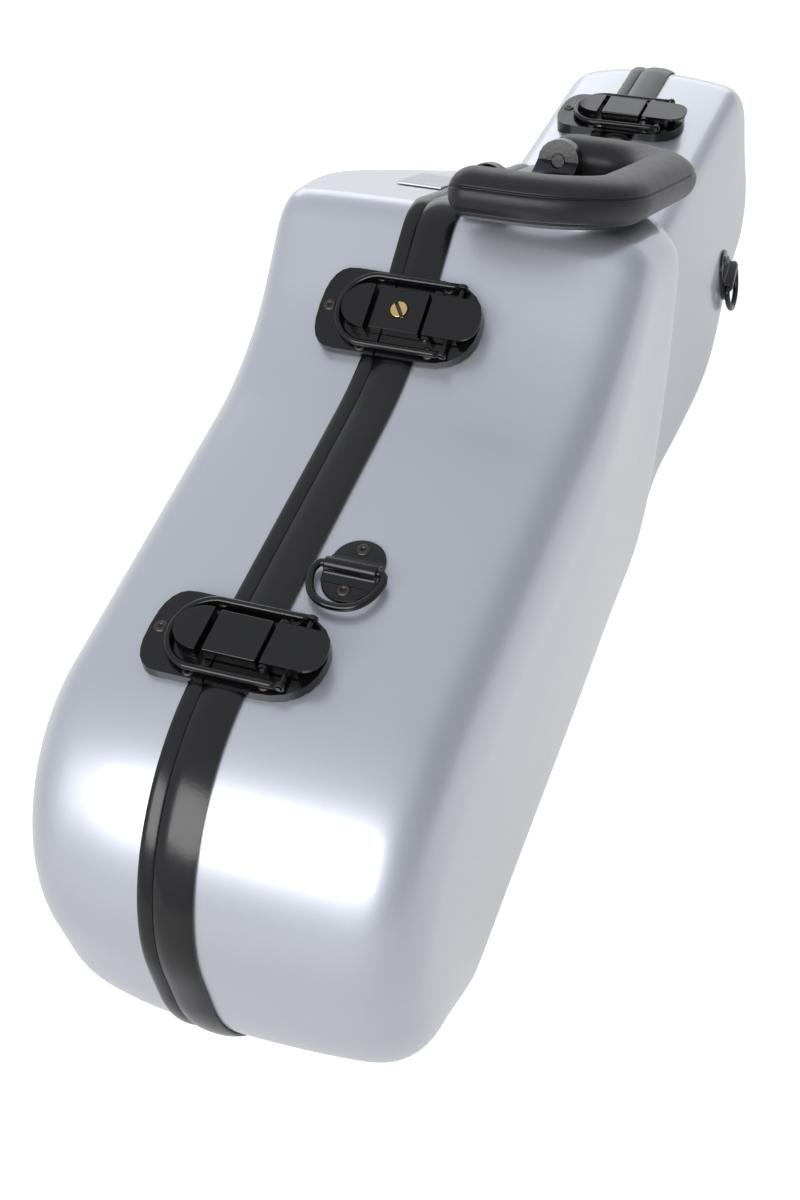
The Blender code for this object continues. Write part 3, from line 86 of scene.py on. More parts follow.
# The two halves: depths of the side face, corner radii, and what swells, tapers or cuts them
BASE = dict(body="base", side=-1, bell=0.1020, neck=0.0584, spine_bow=0.0665, spine_neck=0.0650,
            bell_radius=0.0295, neck_radius=0.0135, spine_radius=0.0160, taper=0.0022, dome=0.0010,
            step_start=0.3440, step_end=0.4320, fullness=0.66, heel=0.0125, waist=0.0125, blend=1.2, cut=0.30)
LID = dict(body="lid", side=1, bell=0.0692, neck=0.0428, spine_bow=0.0475, spine_neck=0.0423,
           bell_radius=0.0235, neck_radius=0.0165, spine_radius=0.0250, taper=0.0034, dome=0.002,
           step_start=0.3620, step_end=0.4320, fullness=1.0, heel=0, waist=0, blend=2.0, cut=0.80)
WALL_CROWN = 0.0030
SHELF_CROWN = 0.008
SHELF_CROWN_WIDTH = 0.022
HEEL_SPREAD = 0.060
WAIST_X = 0.500
WAIST_SPREAD = 0.074
CUT_X = 0.360
CUT_SPREAD = 0.058
WALL_THICKNESS = 0.003
HALF_GAP = 0.00015
SEAT_GAP = 0.0003
LINER_GAP = 0.0005
LINER_THICKNESS = 0.008
LINER_SETBACK = 0.001
SHELL_MESH = dict(finer=6, wall_steps=9, fillet_steps=11, face_steps=18, smoothing=4)
LINER_MESH = dict(finer=2, wall_steps=4, fillet_steps=5, face_steps=8, smoothing=1)

# Merging distances and the angles beyond which an edge stays sharp
MERGE = 0.00001
FINE_MERGE = 0.000001
RIVET_MERGE = 0.000004
BRACKET_MERGE = 0.00002
SOLID_MERGE = 0.000002
FLAT_ANGLE = math.radians(1.5)
SHARP_ANGLE = math.radians(50)
STRIP_SHARP_ANGLE = math.radians(40)

# Rim strips: width, height of the middle, height of the edges
BASE_STRIP = (0.0158, 0.0026, 0.0012)
LID_STRIP = (0.0062, 0.0019, 0.0011)
STRIP_POWER = 2.6
STRIP_CROWDING = 1.5
STRIP_POINTS = 19
STRIP_FINER = 5

# Latches, in frames with u along the case, v towards the lid and w outwards
LATCH_X_SHARES = dict(bow=0.1410, bell=0.4034, neck=0.8800)
LATCH_WIDTH = 0.038
LATCH_EASES = dict(keeper=0.0009, base=0.0009, cover=0.0006, lever=0.0005)
PLATE_TOP = 0.0038
LATCH_TOP = 0.0094
COVER_FRONT = 0.0040
COVER_REAR = 0.0172
RIVET_RADIUS = 0.0022
END_RIVET_RADIUS = 0.0027
RIVET_LIFT = 0.0002
RIVET_POINTS = 28
# Distance from the axis and height, in shares of the rivet's radius
RIVET_PROFILE = ((0.001, -0.10), (0.26, -0.10), (0.34, 0.10), (0.52, 0.22), (0.74, 0.20), (0.94, 0.08),
                 (1.0, -0.06), (0.001, -0.16))
KEEPER_RIVETS = ((-0.0164, 0.0070), (0.0164, 0.0070))
BASE_RIVETS = ((-0.0152, -0.0225), (0.0152, -0.0225))
END_RIVET = (0, 0.0255)
BAIL_PIN = (-0.0290, 0.0064)
BAIL_HALF_WIDTH = 0.0157
BAIL_CENTRE = 0.0065
BAIL_ROUND = 0.0140
BAIL_END_W = 0.0058
BAIL_WIRE = 0.0015
BAIL_BEND_POINTS = 41
BAIL_LEG_POINTS = 8
# Inner radius, outer radius and half length of the eye, and where in its rim the wire starts
BAIL_EYE = (0.0012, 0.0021, 0.0009)
BAIL_EYE_START = 0.8
BAIL_EYE_POWER = 0.5
BAIL_EYE_POINTS = 28
# Painted shade at the bottom of the key slot, a dark box: width, length, and its upper and lower depth below
# the barrel's top
LOCK_SLOT_SHADE = (0.0014, 0.0068, 0.0009, 0.0013)
LOCK_SLOT_DEGREES = -55
LOCK_PROUD = 0.0006

GRIP_X = 0.3605
GRIP_Y = 0.0262
EAR_SPAN = 0.0992
EAR_THICKNESS = 0.007
GRIP_AXIS_HEIGHT = 0.0110
GRIP_RADIUS = 0.0102
GRIP_HALF_WIDTH = 0.0140
GRIP_LEG_GAP = 0.0005
GRIP_REACH = 0.0525
GRIP_CORNER_RADIUS = 0.034
# How far the round ends reach, in grip radii, and the smallest share of the section there
GRIP_END_REACH = 0.98
GRIP_END_SHARE = 0.10
# Steps of the grip's ends, legs, bends and bar, and of its section
GRIP_STEPS = (10, 6, 16, 10)
GRIP_SECTION_POINTS = 180
# Angles of the two parting lines, their width and depth, and the rise and soft edges of the band between
GRIP_LINES = (0.31, -0.79)
GRIP_LINE_WIDTH = 0.045
GRIP_LINE_DEPTH = 0.085
GRIP_BAND_RISE = 0.012
GRIP_BAND_EDGE = 0.1
GRIP_BELLY = 0.0008

# Strap rings: x and distance from the seam at the bow, x and height on the deep side at the neck
BOW_RING = (0.1376, 0.0320)
NECK_RING = (0.5670, 0.0300)
BOW_RING_SINK = WALL_CROWN / 4
NECK_RING_DOME_SHARE = 0.75
RING_HALF_WIDTH = 0.0142
RING_REACH = 0.0192
RING_WIRE = 0.0016
RING_POWER = 0.85
RING_START_ANGLE = 0.16
RING_LOOP_POINTS = 49
RING_BAR_POINTS = 9
RING_BAR_SHARE = 0.78
# Turns from the loop into the bar: distance from the axis, and share of the half width
RING_TURNS = ((-0.0011, -0.935), (-0.0002, -0.86))
RING_AXIS_HEIGHT = 0.0040
RING_PLATE_TOP = 0.0016
RING_PLATE_SOLE = -0.0010
RING_PLATE_HALF = 0.0155
RING_PLATE_WIDE = 0.0105
RING_PLATE_SHIFT = 0.0012
RING_PLATE_END_POINTS = 25
# Rounded top edge of the plate: inset and drop
RING_PLATE_EDGE = ((0, 0.0006), (0.00008, 0.0003), (0.0003, 0.00008), (0.0006, 0))
RING_PLATE_INNER_RADII = (0.004, 0.0001)
RING_BRIDGE_TOP = 0.0068
RING_BRIDGE_POINTS = 21
RING_BRIDGE_MIDDLE = 0.0030
# Foot of the bridge, in rolls from the axis and height; its rounded ends, in scale and setback
RING_BRIDGE_FOOT = ((-2.55, 0.0011), (-2.45, 0.0018), (-1.9, 0.0021), (-1.35, 0.0025), (-1.08, 0.0032))
RING_BRIDGE_ENDS = ((0.02, 0), (0.88, 0), (0.97, 0.0002), (1, 0.0006))
RING_RIVETS = ((-0.0091, 0), (0.0115, 0))
RING_RIVET_RADIUS = END_RIVET_RADIUS * 1.1

PAD_EASE = 0.004
PAD_ANGLE = 40
SADDLE_EASE = 0.0012
FOOT_EASE = 0.0012
SMALL_EASE = 0.0003

FLOOR_HALF = 6.0
# Glow of the floor off camera: from x, to x, from level, to level; and its level on camera
FLOOR_GLOW = (-0.60, 0, 0.12, 0.50)
FLOOR_ON_CAMERA = 0.85
WORLD_COLOUR = (0.91, 0.945, 1.02, 1)
WORLD_LEVEL = 0.68
WORLD_ON_CAMERA = 1.05
# Darker part of the world: from and to a direction's y or z, from and to a share
WORLD_SHADE_Y = (-0.75, -0.25, 0.45, 0)
WORLD_SHADE_Z = (0.5, 0.85, 1, 0)
# Lamps: name, place, target, size and power
LAMPS = (("bow_softbox", (-1.75, 0.1, 1.5), (-0.25, 0, 0.2), (2.8, 1.2), 48),
         ("neck_backdrop", (1.9, 0.6, 0.5), (0.2, 0, 0.12), (2.2, 0.9), 8))
CAMERA_PLACE = (-0.2672, -0.2667, 0.7654)
CAMERA_AZIMUTH = 0.4921
CAMERA_ELEVATION = -0.8621
CAMERA_ROLL = -0.1778
CAMERA_LENS = 56.857

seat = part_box("base_shell")
SEAM_Y = seat[1].y + HALF_GAP
ORIGIN = np.array((-CASE_LENGTH / 2, SEAM_Y, seat[0].z))


def smooth_step(t):
    """0 below 0, 1 above 1, and 3t^2 - 2t^3 between."""
    t = np.clip(t, 0.0, 1.0)
    return t * t * (3 - 2 * t)


def signed_power(values, power):
    """Powers of the sizes of values, with the values' signs."""
    return np.sign(values) * np.abs(values) ** power


def circle(radius, count=16):
    """Points of a circle."""
    angle = np.linspace(0, 2 * math.pi, count + 1)[:-1]
    return radius * np.stack([np.cos(angle), np.sin(angle)], 1)


def corner_arc(before, corner, after, radius, steps):
    """The circle that touches both straights of a corner, in equal turns from one to the other."""
    before, corner, after = (np.array(p, float) for p in (before, corner, after))
    back = (before - corner) / np.linalg.norm(before - corner)
    ahead = (after - corner) / np.linalg.norm(after - corner)
    half_angle = math.acos(float(np.clip(back @ ahead, -1, 1))) / 2
    middle = (back + ahead) / np.linalg.norm(back + ahead)
    centre = corner + middle * radius / math.sin(half_angle)
    start = corner + back * radius / math.tan(half_angle) - centre
    end = corner + ahead * radius / math.tan(half_angle) - centre
    first = math.atan2(start[1], start[0])
    turn = (math.atan2(end[1], end[0]) - first + math.pi) % (2 * math.pi) - math.pi
    angles = first + turn * np.linspace(0, 1, steps + 1)
    return centre + radius * np.stack([np.cos(angles), np.sin(angles)], 1)


def between(start, end, pieces):
    """The inner points of a straight run that is cut into equal pieces."""
    shares = np.arange(1, pieces)[:, None] / pieces
    return start + (end - start) * shares


def case_outline(finer):
    """Bow end, latch side, neck end and spine: the corner arcs joined by straights, divided finer times."""
    places = [c[:2] for c in CORNERS]
    n = len(CORNERS)
    arcs = [corner_arc(places[i - 1], places[i], places[(i + 1) % n], CORNERS[i][2], CORNERS[i][3] * finer)
            for i in range(n)]
    bow = np.vstack([arcs[0], between(arcs[0][-1], arcs[1][0], finer), arcs[1],
                     between(arcs[1][-1], arcs[2][0], finer), arcs[2]])
    latch_side = []
    for i, steps in enumerate(STRAIGHT_STEPS):
        latch_side.append(between(arcs[i + 2][-1], arcs[i + 3][0], (steps + 1) * finer))
        if i < len(STRAIGHT_STEPS) - 1:
            latch_side.append(arcs[i + 3])
    latch_side = np.vstack(latch_side)
    neck = np.vstack([arcs[7], between(arcs[7][-1], arcs[8][0], finer), arcs[8]])
    first, last = bow[-1], neck[0]
    shares = (latch_side[:, :1] - first[0]) / (last[0] - first[0])
    spine = bow[0] + (neck[-1] - bow[0]) * shares
    return bow, latch_side, neck, spine[::-1]


def outline_height(x, blur=HEIGHT_BLUR):
    """Height of the latch side above the spine: the corners' polygon, averaged over a short window."""
    corners = CORNERS[2:8]
    offsets = np.linspace(-1, 1, WINDOW_POINTS)
    weights = 1 + np.cos(offsets * np.pi)
    spots = np.asarray(x, float)[..., None] + offsets * blur
    heights = np.interp(spots, [c[0] for c in corners], [c[1] for c in corners])
    return (heights * weights).sum(-1) / weights.sum()


def outline_frame(x):
    """Seat height and slope of a flat plate that touches the solids' latch side above x."""
    bow, latch_side, neck, _ = case_outline(1)
    run = np.vstack([bow[-CORNERS[2][3] - 1:], latch_side, neck[:CORNERS[0][3]]])
    spots = np.linspace(x - LATCH_WIDTH / 2, x + LATCH_WIDTH / 2, WINDOW_POINTS)
    heights = np.interp(spots, run[:, 0], run[:, 1])
    climb = (heights[-1] - heights[0]) / LATCH_WIDTH
    return float(np.max(heights - climb * (spots - x))), math.atan(climb)


def slope_matrix(x, y, sink=0):
    """Frame on the latch side above x: u up the case, v towards the lid, w outwards."""
    z, slope = outline_frame(x)
    return Matrix.Translation((x, y, z - sink)) @ Matrix.Rotation(-slope, 4, "Y")


def in_frame(matrix, points):
    """Points of a local frame in case coordinates."""
    m = np.array(matrix)
    return np.asarray(points, float) @ m[:3, :3].T + m[:3, 3]


def bulge(half, x):
    """1 along the body and the bell, falling smoothly to 0 where the neck part begins."""
    return 1 - smooth_step((x - half["step_start"]) / (half["step_end"] - half["step_start"]))


def side_depth(half, x, z):
    """Depth of the side face: from the spine's depth to the latch side's, by a power of the height share."""
    high = half["neck"] + (half["bell"] - half["neck"]) * bulge(half, x)
    high = high - half["taper"] * (1 - smooth_step(x / SHOULDER_X))
    low = half["spine_bow"] + (half["spine_neck"] - half["spine_bow"]) * x / CASE_LENGTH
    low = low + half["heel"] * np.exp(-(x / HEEL_SPREAD) ** 2)
    low = low + half["waist"] * np.exp(-((x - WAIST_X) / WAIST_SPREAD) ** 2)
    share = np.clip(z / outline_height(x), 0, 1) ** half["fullness"]
    return low + (high - low) * share


def shell_grid(half, finer, wall_steps, fillet_steps, face_steps, smoothing):
    """Rings from the seam out over the rounded corner to the middle of the side face.

    A ring point starts on the outline. Going out, it drifts inwards by crown * share^3, turns a quarter
    circle of the corner radius, and runs straight to the medial line while the depth gains a low dome.
    The rings are then averaged with their neighbours, which eases the edges of the quarter circle.
    """
    bow, latch_side, neck, spine = case_outline(finer)
    edge = np.vstack([bow, latch_side, neck, spine])
    x_bow, x_neck = BOW_POLE_INSET, CASE_LENGTH - NECK_POLE_INSET
    shares = (latch_side[:, 0] - bow[-1][0]) / (neck[0][0] - bow[-1][0])
    ridge = x_bow + (x_neck - x_bow) * shares
    x = np.concatenate([np.full(len(bow), x_bow), ridge, np.full(len(neck), x_neck), ridge[::-1]])
    inner = np.stack([x, MEDIAL_SHARE * outline_height(x, MEDIAL_BLUR)], 1)
    way = inner - edge
    reach = np.linalg.norm(way, axis=1)[:, None]
    inward = way / reach
    high = half["neck_radius"] + (half["bell_radius"] - half["neck_radius"]) * bulge(half, edge[:, 0])
    low = (1 - np.clip(edge[:, 1] / outline_height(edge[:, 0]), 0, 1)) ** half["blend"]
    upper = edge[:, 1] > BOW_HEEL_HEIGHT
    cut = half["cut"] * np.exp(-((edge[:, 0] - CUT_X) / CUT_SPREAD) ** 2) * upper
    radius = ((high + (half["spine_radius"] - high) * low) * (1 - cut))[:, None]
    shelf = np.exp(-((edge[:, 0] - SHELF_END_X) / SHELF_CROWN_WIDTH) ** 2) * upper
    crown = (WALL_CROWN * (1 - cut) + SHELF_CROWN * shelf)[:, None]
    crease = edge + inward * radius
    depth = side_depth(half, crease[:, 0], crease[:, 1])[:, None]
    rings = []
    for share in np.linspace(0, 1, wall_steps + 1)[:-1]:
        level = HALF_GAP + (depth - radius - HALF_GAP) * share
        rings.append(np.hstack([edge + inward * crown * share**3, level]))
    for turn in np.linspace(0, np.pi / 2, fillet_steps + 1):
        inset = crown + radius * (1 - math.cos(turn))
        rings.append(np.hstack([edge + inward * inset, depth - radius + radius * math.sin(turn)]))
    start = (crown + radius) / reach
    for share in np.linspace(0, 1, face_steps + 1)[1:]:
        spot = edge + way * (start + (1 - start) * share)
        level = side_depth(half, spot[:, 0], spot[:, 1])[:, None]
        rings.append(np.hstack([spot, level + half["dome"] * (1 - (1 - share) ** 2)]))
    rings = np.stack(rings)
    for _ in range(smoothing):
        rings[2:-1] = (rings[1:-2] + 2 * rings[2:-1] + rings[3:]) / 4
    return np.stack([rings[..., 0], rings[..., 2] * half["side"], rings[..., 1]], -1)


# Meshes

def grid_quads(rows, count):
    """Corner numbers of the quads between closed rings of count points each."""
    i, j = np.meshgrid(np.arange(rows - 1), np.arange(count), indexing="ij")
    a = i * count + j
    b = i * count + (j + 1) % count
    return np.stack([a, b, b + count, a + count], -1).reshape(-1, 4)


def end_caps(rows, count):
    """Corner numbers of the two faces that close a tube of rings."""
    return [list(range(count)), list(range((rows - 1) * count, rows * count))[::-1]]


def place_object(name, data):
    """An object of a mesh, lamp or camera, linked to the scene."""
    made = bpy.data.objects.new(name, data)
    bpy.context.scene.collection.objects.link(made)
    return made


def put_mesh(name, points, faces, look, body):
    """A piece from points in case coordinates, riding on a body."""
    data = bpy.data.meshes.new(name)
    data.from_pydata((np.asarray(points) + ORIGIN).tolist(), [], faces)
    data.materials.append(look)
    data.shade_smooth()
    piece = place_object(name, data)
    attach(piece, body)
    return piece


def merge_and_turn(piece, distance, sharp=None):
    """Merges points that meet, drops flat faces, turns every face outwards and marks the sharp edges."""
    mesh = bmesh.new()
    mesh.from_mesh(piece.data)
    bmesh.ops.remove_doubles(mesh, verts=mesh.verts, dist=distance)
    bmesh.ops.dissolve_degenerate(mesh, edges=mesh.edges, dist=distance / 10)
    bmesh.ops.recalc_face_normals(mesh, faces=mesh.faces)
    if mesh.calc_volume(signed=True) < 0:
        bmesh.ops.reverse_faces(mesh, faces=mesh.faces)
    mesh.to_mesh(piece.data)
    mesh.free()
    if sharp is not None:
        piece.data.set_sharp_from_angle(angle=sharp)


def surface_normals(points, faces):
    """The mesh normals of an open surface, worked out by Blender."""
    data = bpy.data.meshes.new("normals")
    data.from_pydata(points.tolist(), [], faces)
    normals = np.zeros(len(points) * 3, np.float32)
    data.vertices.foreach_get("normal", normals)
    bpy.data.meshes.remove(data)
    return normals.reshape(-1, 3).astype(float)


def walled_shell(name, half, inset, thickness, setback, look, mesh):
    """The ring surface moved inwards by inset, a second one thickness deeper, and a flat rim between them."""
    rings = shell_grid(half, **mesh)
    rows, count = rings.shape[:2]
    points = rings.reshape(-1, 3)
    faces = grid_quads(rows, count)
    if half["side"] < 0:
        faces = faces[:, ::-1]
    normals = surface_normals(points, faces.tolist())
    # The poles' points lie together, so they share the side's own direction
    normals[-count:] = (0, half["side"], 0)
    outer = points - normals * inset
    inner = points - normals * (inset + thickness)
    for surface in (outer, inner):
        surface[:count, 1] = half["side"] * (HALF_GAP + setback)
    shift = len(points)
    k = np.arange(count)
    rim = np.stack([k, (k + 1) % count, (k + 1) % count + shift, k + shift], 1)
    if half["side"] > 0:
        rim = rim[:, ::-1]
    every = np.vstack([faces, faces[:, ::-1] + shift, rim])
    piece = put_mesh(name, np.vstack([outer, inner]), every.tolist(), look, half["body"])
    merge_and_turn(piece, MERGE, SHARP_ANGLE)
    return piece


def rim_path(finer):
    """Points of the outline from spine to spine round the latch side, with outward directions."""
    bow, latch_side, neck, _ = case_outline(finer)
    path = np.vstack([bow, latch_side, neck])
    run = np.diff(path, axis=0)
    run /= np.linalg.norm(run, axis=1)[:, None]
    left = np.stack([-run[:, 1], run[:, 0]], 1)
    left = np.vstack([left[:1], left, left[-1:]])
    normal = left[:-1] + left[1:]
    return path, normal / (np.linalg.norm(normal, axis=1) ** 2)[:, None] * 2


def rim_seal(name, half, sizes, look):
    """A strip carried round the rim: flat edges, and a top raised by (1 - |t|^2.6) across its width."""
    width, proud, edge = sizes
    t = np.linspace(-1, 1, STRIP_POINTS)
    t = np.sign(t) * (1 - (1 - np.abs(t)) ** STRIP_CROWDING)
    top = edge + (proud - edge) * (1 - np.abs(t) ** STRIP_POWER)
    across = HALF_GAP + (width - HALF_GAP) * (t + 1) / 2
    y = np.concatenate([across[:1], across, across[-1:]])
    height = np.concatenate([[SEAT_GAP], top, [SEAT_GAP]])
    path, normal = rim_path(STRIP_FINER)
    spot = path[:, None] + normal[:, None] * height[None, :, None]
    points = np.stack([spot[..., 0], np.broadcast_to(half["side"] * y, spot.shape[:2]), spot[..., 1]], -1)
    rows, count = points.shape[:2]
    faces = grid_quads(rows, count).tolist() + end_caps(rows, count)
    piece = put_mesh(name, points.reshape(-1, 3), faces, look, half["body"])
    merge_and_turn(piece, FINE_MERGE, STRIP_SHARP_ANGLE)
    return piece


def sweep(name, path, across, up, profile, look, body, closed=False, sizes=None):
    """A closed profile (a along across, b along up) carried along a path; sizes swell or shrink it."""
    path, across, up, profile = (np.asarray(v, float) for v in (path, across, up, profile))
    scale = np.ones(len(path)) if sizes is None else np.asarray(sizes, float)
    rings = (path[:, None] + (across[:, None] * profile[None, :, :1] + up[:, None] * profile[None, :, 1:])
             * scale[:, None, None])
    rows, count = rings.shape[:2]
    points = rings.reshape(-1, 3)
    if closed:
        points = np.vstack([points, points[:count]])
        rows += 1
    faces = grid_quads(rows, count).tolist()
    if not closed:
        faces += end_caps(rows, count)
    piece = put_mesh(name, points, faces, look, body)
    merge_and_turn(piece, FINE_MERGE)
    return piece


def sweep_plan(name, matrix, plan, run, height, profile, look, body, closed=False, sizes=None):
    """A profile carried along a plan in a local frame, upright, at a height over the frame's plane."""
    run = run / np.linalg.norm(run, axis=1)[:, None]
    turn = np.array(matrix)[:3, :3]
    path = in_frame(matrix, np.column_stack([plan, np.full(len(plan), height)]))
    across = np.column_stack([run[:, 1], -run[:, 0], np.zeros(len(plan))]) @ turn.T
    up = np.tile(turn[:, 2], (len(plan), 1))
    return sweep(name, path, across, up, profile, look, body, closed, sizes)


def eased(node, width, look, segments, degrees=30):
    """A merged copy of a solid with its sharp edges rounded by a bevel; it takes the solid's place."""
    source = frame["nodes"][node]
    mesh = bmesh.new()
    mesh.from_mesh(source.data)
    bmesh.ops.remove_doubles(mesh, verts=mesh.verts, dist=SOLID_MERGE)
    bmesh.ops.dissolve_limit(mesh, angle_limit=FLAT_ANGLE, verts=mesh.verts, edges=mesh.edges)
    data = bpy.data.meshes.new(node + "_eased")
    mesh.to_mesh(data)
    mesh.free()
    data.materials.append(look)
    data.shade_smooth()
    data.set_sharp_from_angle(angle=math.radians(degrees))
    piece = place_object(node + "_eased", data)
    step = piece.modifiers.new("ease", "BEVEL")
    step.width = width
    step.segments = segments
    step.limit_method = "ANGLE"
    step.angle_limit = math.radians(degrees)
    step.harden_normals = True
    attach(piece, source["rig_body"])
    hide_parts(node)
    return piece


# Materials

def new_look(name, colour, roughness, metallic=0.0, coat=0.0, coat_roughness=0.05, specular=0.5):
    """A Principled material with its constants on the shader itself."""
    made = bpy.data.materials.new(name)
    made.use_nodes = True
    shader = made.node_tree.nodes["Principled BSDF"]
    shader.inputs["Base Color"].default_value = (*colour, 1)
    shader.inputs["Roughness"].default_value = roughness
    shader.inputs["Metallic"].default_value = metallic
    shader.inputs["Coat Weight"].default_value = coat
    shader.inputs["Coat Roughness"].default_value = coat_roughness
    shader.inputs["Specular IOR Level"].default_value = specular
    made.diffuse_color = (*colour, 1)
    return made


def grain(look, scale, detail=3.0, stretch=(1, 1, 1)):
    """A noise on Object coordinates, for the colour, roughness and bump of a finish."""
    tree = look.node_tree
    spot = tree.nodes.new("ShaderNodeTexCoord")
    turn = tree.nodes.new("ShaderNodeMapping")
    turn.inputs["Scale"].default_value = stretch
    noise = tree.nodes.new("ShaderNodeTexNoise")
    noise.inputs["Scale"].default_value = scale
    noise.inputs["Detail"].default_value = detail
    tree.links.new(spot.outputs["Object"], turn.inputs["Vector"])
    tree.links.new(turn.outputs["Vector"], noise.inputs["Vector"])
    return noise.outputs["Fac"]


def vary(look, socket, factor, low, high):
    """Runs a socket between two values with a factor."""
    tree = look.node_tree
    shader = tree.nodes["Principled BSDF"]
    if isinstance(low, tuple):
        ramp = tree.nodes.new("ShaderNodeMix")
        ramp.data_type = "RGBA"
        ramp.inputs["A"].default_value = (*low, 1)
        ramp.inputs["B"].default_value = (*high, 1)
        tree.links.new(factor, ramp.inputs["Factor"])
    else:
        ramp = tree.nodes.new("ShaderNodeMapRange")
        ramp.inputs["To Min"].default_value = low
        ramp.inputs["To Max"].default_value = high
        tree.links.new(factor, ramp.inputs["Value"])
    tree.links.new(ramp.outputs["Result"], shader.inputs[socket])


def bump(look, factor, strength, distance, socket="Normal"):
    """Raises the surface by a factor, as a bump."""
    tree = look.node_tree
    node = tree.nodes.new("ShaderNodeBump")
    node.inputs["Strength"].default_value = strength
    node.inputs["Distance"].default_value = distance
    tree.links.new(factor, node.inputs["Height"])
    tree.links.new(node.outputs["Normal"], tree.nodes["Principled BSDF"].inputs[socket])


def silver_lacquer():
    """Silver metallic lacquer: fine flakes under a clear coat, with the slight waves of a laid-up shell."""
    look = new_look("silver_lacquer", (0.52, 0.535, 0.575), 0.37, 0.72, 0.6, 0.07)
    vary(look, "Base Color", grain(look, 2600, 1.0), (0.49, 0.505, 0.545), (0.56, 0.575, 0.615))
    vary(look, "Roughness", grain(look, 14, 2.0), 0.33, 0.42)
    bump(look, grain(look, 16, 1.0), 0.10, 0.004, "Coat Normal")
    return look


def black_rubber():
    """Black extruded rubber: glossy, with a dust-fine grain and duller patches."""
    look = new_look("black_rubber", (0.005, 0.004, 0.005), 0.20)
    vary(look, "Base Color", grain(look, 60, 4.0), (0.003, 0.0025, 0.003), (0.006, 0.005, 0.0055))
    vary(look, "Roughness", grain(look, 120), 0.17, 0.24)
    bump(look, grain(look, 900, 2.0), 0.06, 0.0004)
    return look


def grip_rubber():
    """Moulded black rubber with a fine matte grain."""
    look = new_look("grip_rubber", (0.013, 0.012, 0.013), 0.36, specular=0.36)
    vary(look, "Base Color", grain(look, 80, 4.0), (0.010, 0.009, 0.010), (0.017, 0.0155, 0.0165))
    vary(look, "Roughness", grain(look, 200), 0.34, 0.46)
    bump(look, grain(look, 1400, 2.0), 0.18, 0.0004)
    return look


def black_lacquer():
    """Glossy black stoving lacquer on pressed steel, slightly orange-peeled."""
    look = new_look("black_lacquer", (0.0040, 0.0035, 0.0040), 0.16, specular=0.46)
    vary(look, "Roughness", grain(look, 90), 0.12, 0.22)
    bump(look, grain(look, 700, 1.0), 0.08, 0.0004)
    return look


def rivet_black():
    """Dark blued steel of rivets and the handle's screws; also painted shade at the key slot's bottom."""
    look = new_look("rivet_black", (0.060, 0.052, 0.046), 0.30, 0.7)
    vary(look, "Roughness", grain(look, 400), 0.26, 0.44)
    return look


def plain_steel():
    """Plain steel with fine lengthwise scratches."""
    look = new_look("plain_steel", (0.56, 0.56, 0.57), 0.32, 1.0)
    vary(look, "Roughness", grain(look, 500, 4.0, (0.1, 1, 1)), 0.24, 0.42)
    return look


def badge_metal():
    """Satin badge plate with a fine brushed grain."""
    look = new_look("badge_metal", (0.44, 0.45, 0.47), 0.30, 0.9)
    vary(look, "Roughness", grain(look, 700, 3.0, (0.05, 1, 1)), 0.26, 0.44)
    vary(look, "Base Color", grain(look, 400, 3.0, (0.05, 1, 1)), (0.37, 0.38, 0.40), (0.51, 0.52, 0.54))
    return look


def turned_brass():
    """Turned brass, a little tarnished."""
    look = new_look("turned_brass", (0.80, 0.57, 0.24), 0.26, 1.0)
    vary(look, "Base Color", grain(look, 300), (0.70, 0.48, 0.19), (0.84, 0.62, 0.28))
    vary(look, "Roughness", grain(look, 500), 0.20, 0.36)
    return look


def plush():
    """Dark plush: short pile with sheen and brushed patches."""
    look = new_look("plush", (0.030, 0.030, 0.038), 0.95)
    shader = look.node_tree.nodes["Principled BSDF"]
    shader.inputs["Sheen Weight"].default_value = 0.6
    shader.inputs["Sheen Roughness"].default_value = 0.4
    vary(look, "Base Color", grain(look, 26, 4.0), (0.022, 0.022, 0.029), (0.042, 0.042, 0.052))
    bump(look, grain(look, 1100, 2.0), 0.5, 0.0008)
    return look


LOOKS = dict(silver_lacquer=silver_lacquer(), black_rubber=black_rubber(), black_lacquer=black_lacquer(),
             steel=plain_steel(), brass=turned_brass(), plush=plush(), rivet=rivet_black())
GRIP_RUBBER = grip_rubber()
BADGE_METAL = badge_metal()
OWN_LOOKS = dict(badge_plate=BADGE_METAL, handle_screw_bow=LOOKS["rivet"], handle_screw_neck=LOOKS["rivet"])


# Pieces

def dress_nodes():
    """Gives every solid the finish of its record slot, or its own."""
    slots = {s["node"]: s["material_slot"] for s in frame["record"]["subparts"]}
    for name, node in frame["nodes"].items():
        node.data.materials.clear()
        node.data.materials.append(OWN_LOOKS.get(name, LOOKS[slots[name]]))


def add_shells():
    """The two lacquered half shells in fine rings."""
    for name, half in (("base_shell", BASE), ("lid_shell", LID)):
        piece = walled_shell(name + "_smooth", half, 0, WALL_THICKNESS, 0,
                             LOOKS["silver_lacquer"], SHELL_MESH)
        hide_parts(name)


def add_liners():
    """Plush padding inside each shell."""
    for name, half in (("base_liner", BASE), ("lid_liner", LID)):
        piece = walled_shell(name + "_plush", half, WALL_THICKNESS + LINER_GAP, LINER_THICKNESS,
                             LINER_SETBACK, LOOKS["plush"], LINER_MESH)
        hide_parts(name)


def add_pads():
    """Foam cradles and the lid pad with soft, rounded edges."""
    for name in ("bow_cradle", "bell_cradle", "neck_cradle", "lid_pad"):
        piece = eased(name, PAD_EASE, LOOKS["plush"], 3, PAD_ANGLE)


def add_seals():
    """The rubber strips over the seam."""
    for name, half, sizes in (("base_rim_seal", BASE, BASE_STRIP), ("lid_rim_seal", LID, LID_STRIP)):
        piece = rim_seal(name + "_smooth", half, sizes, LOOKS["black_rubber"])
        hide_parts(name)


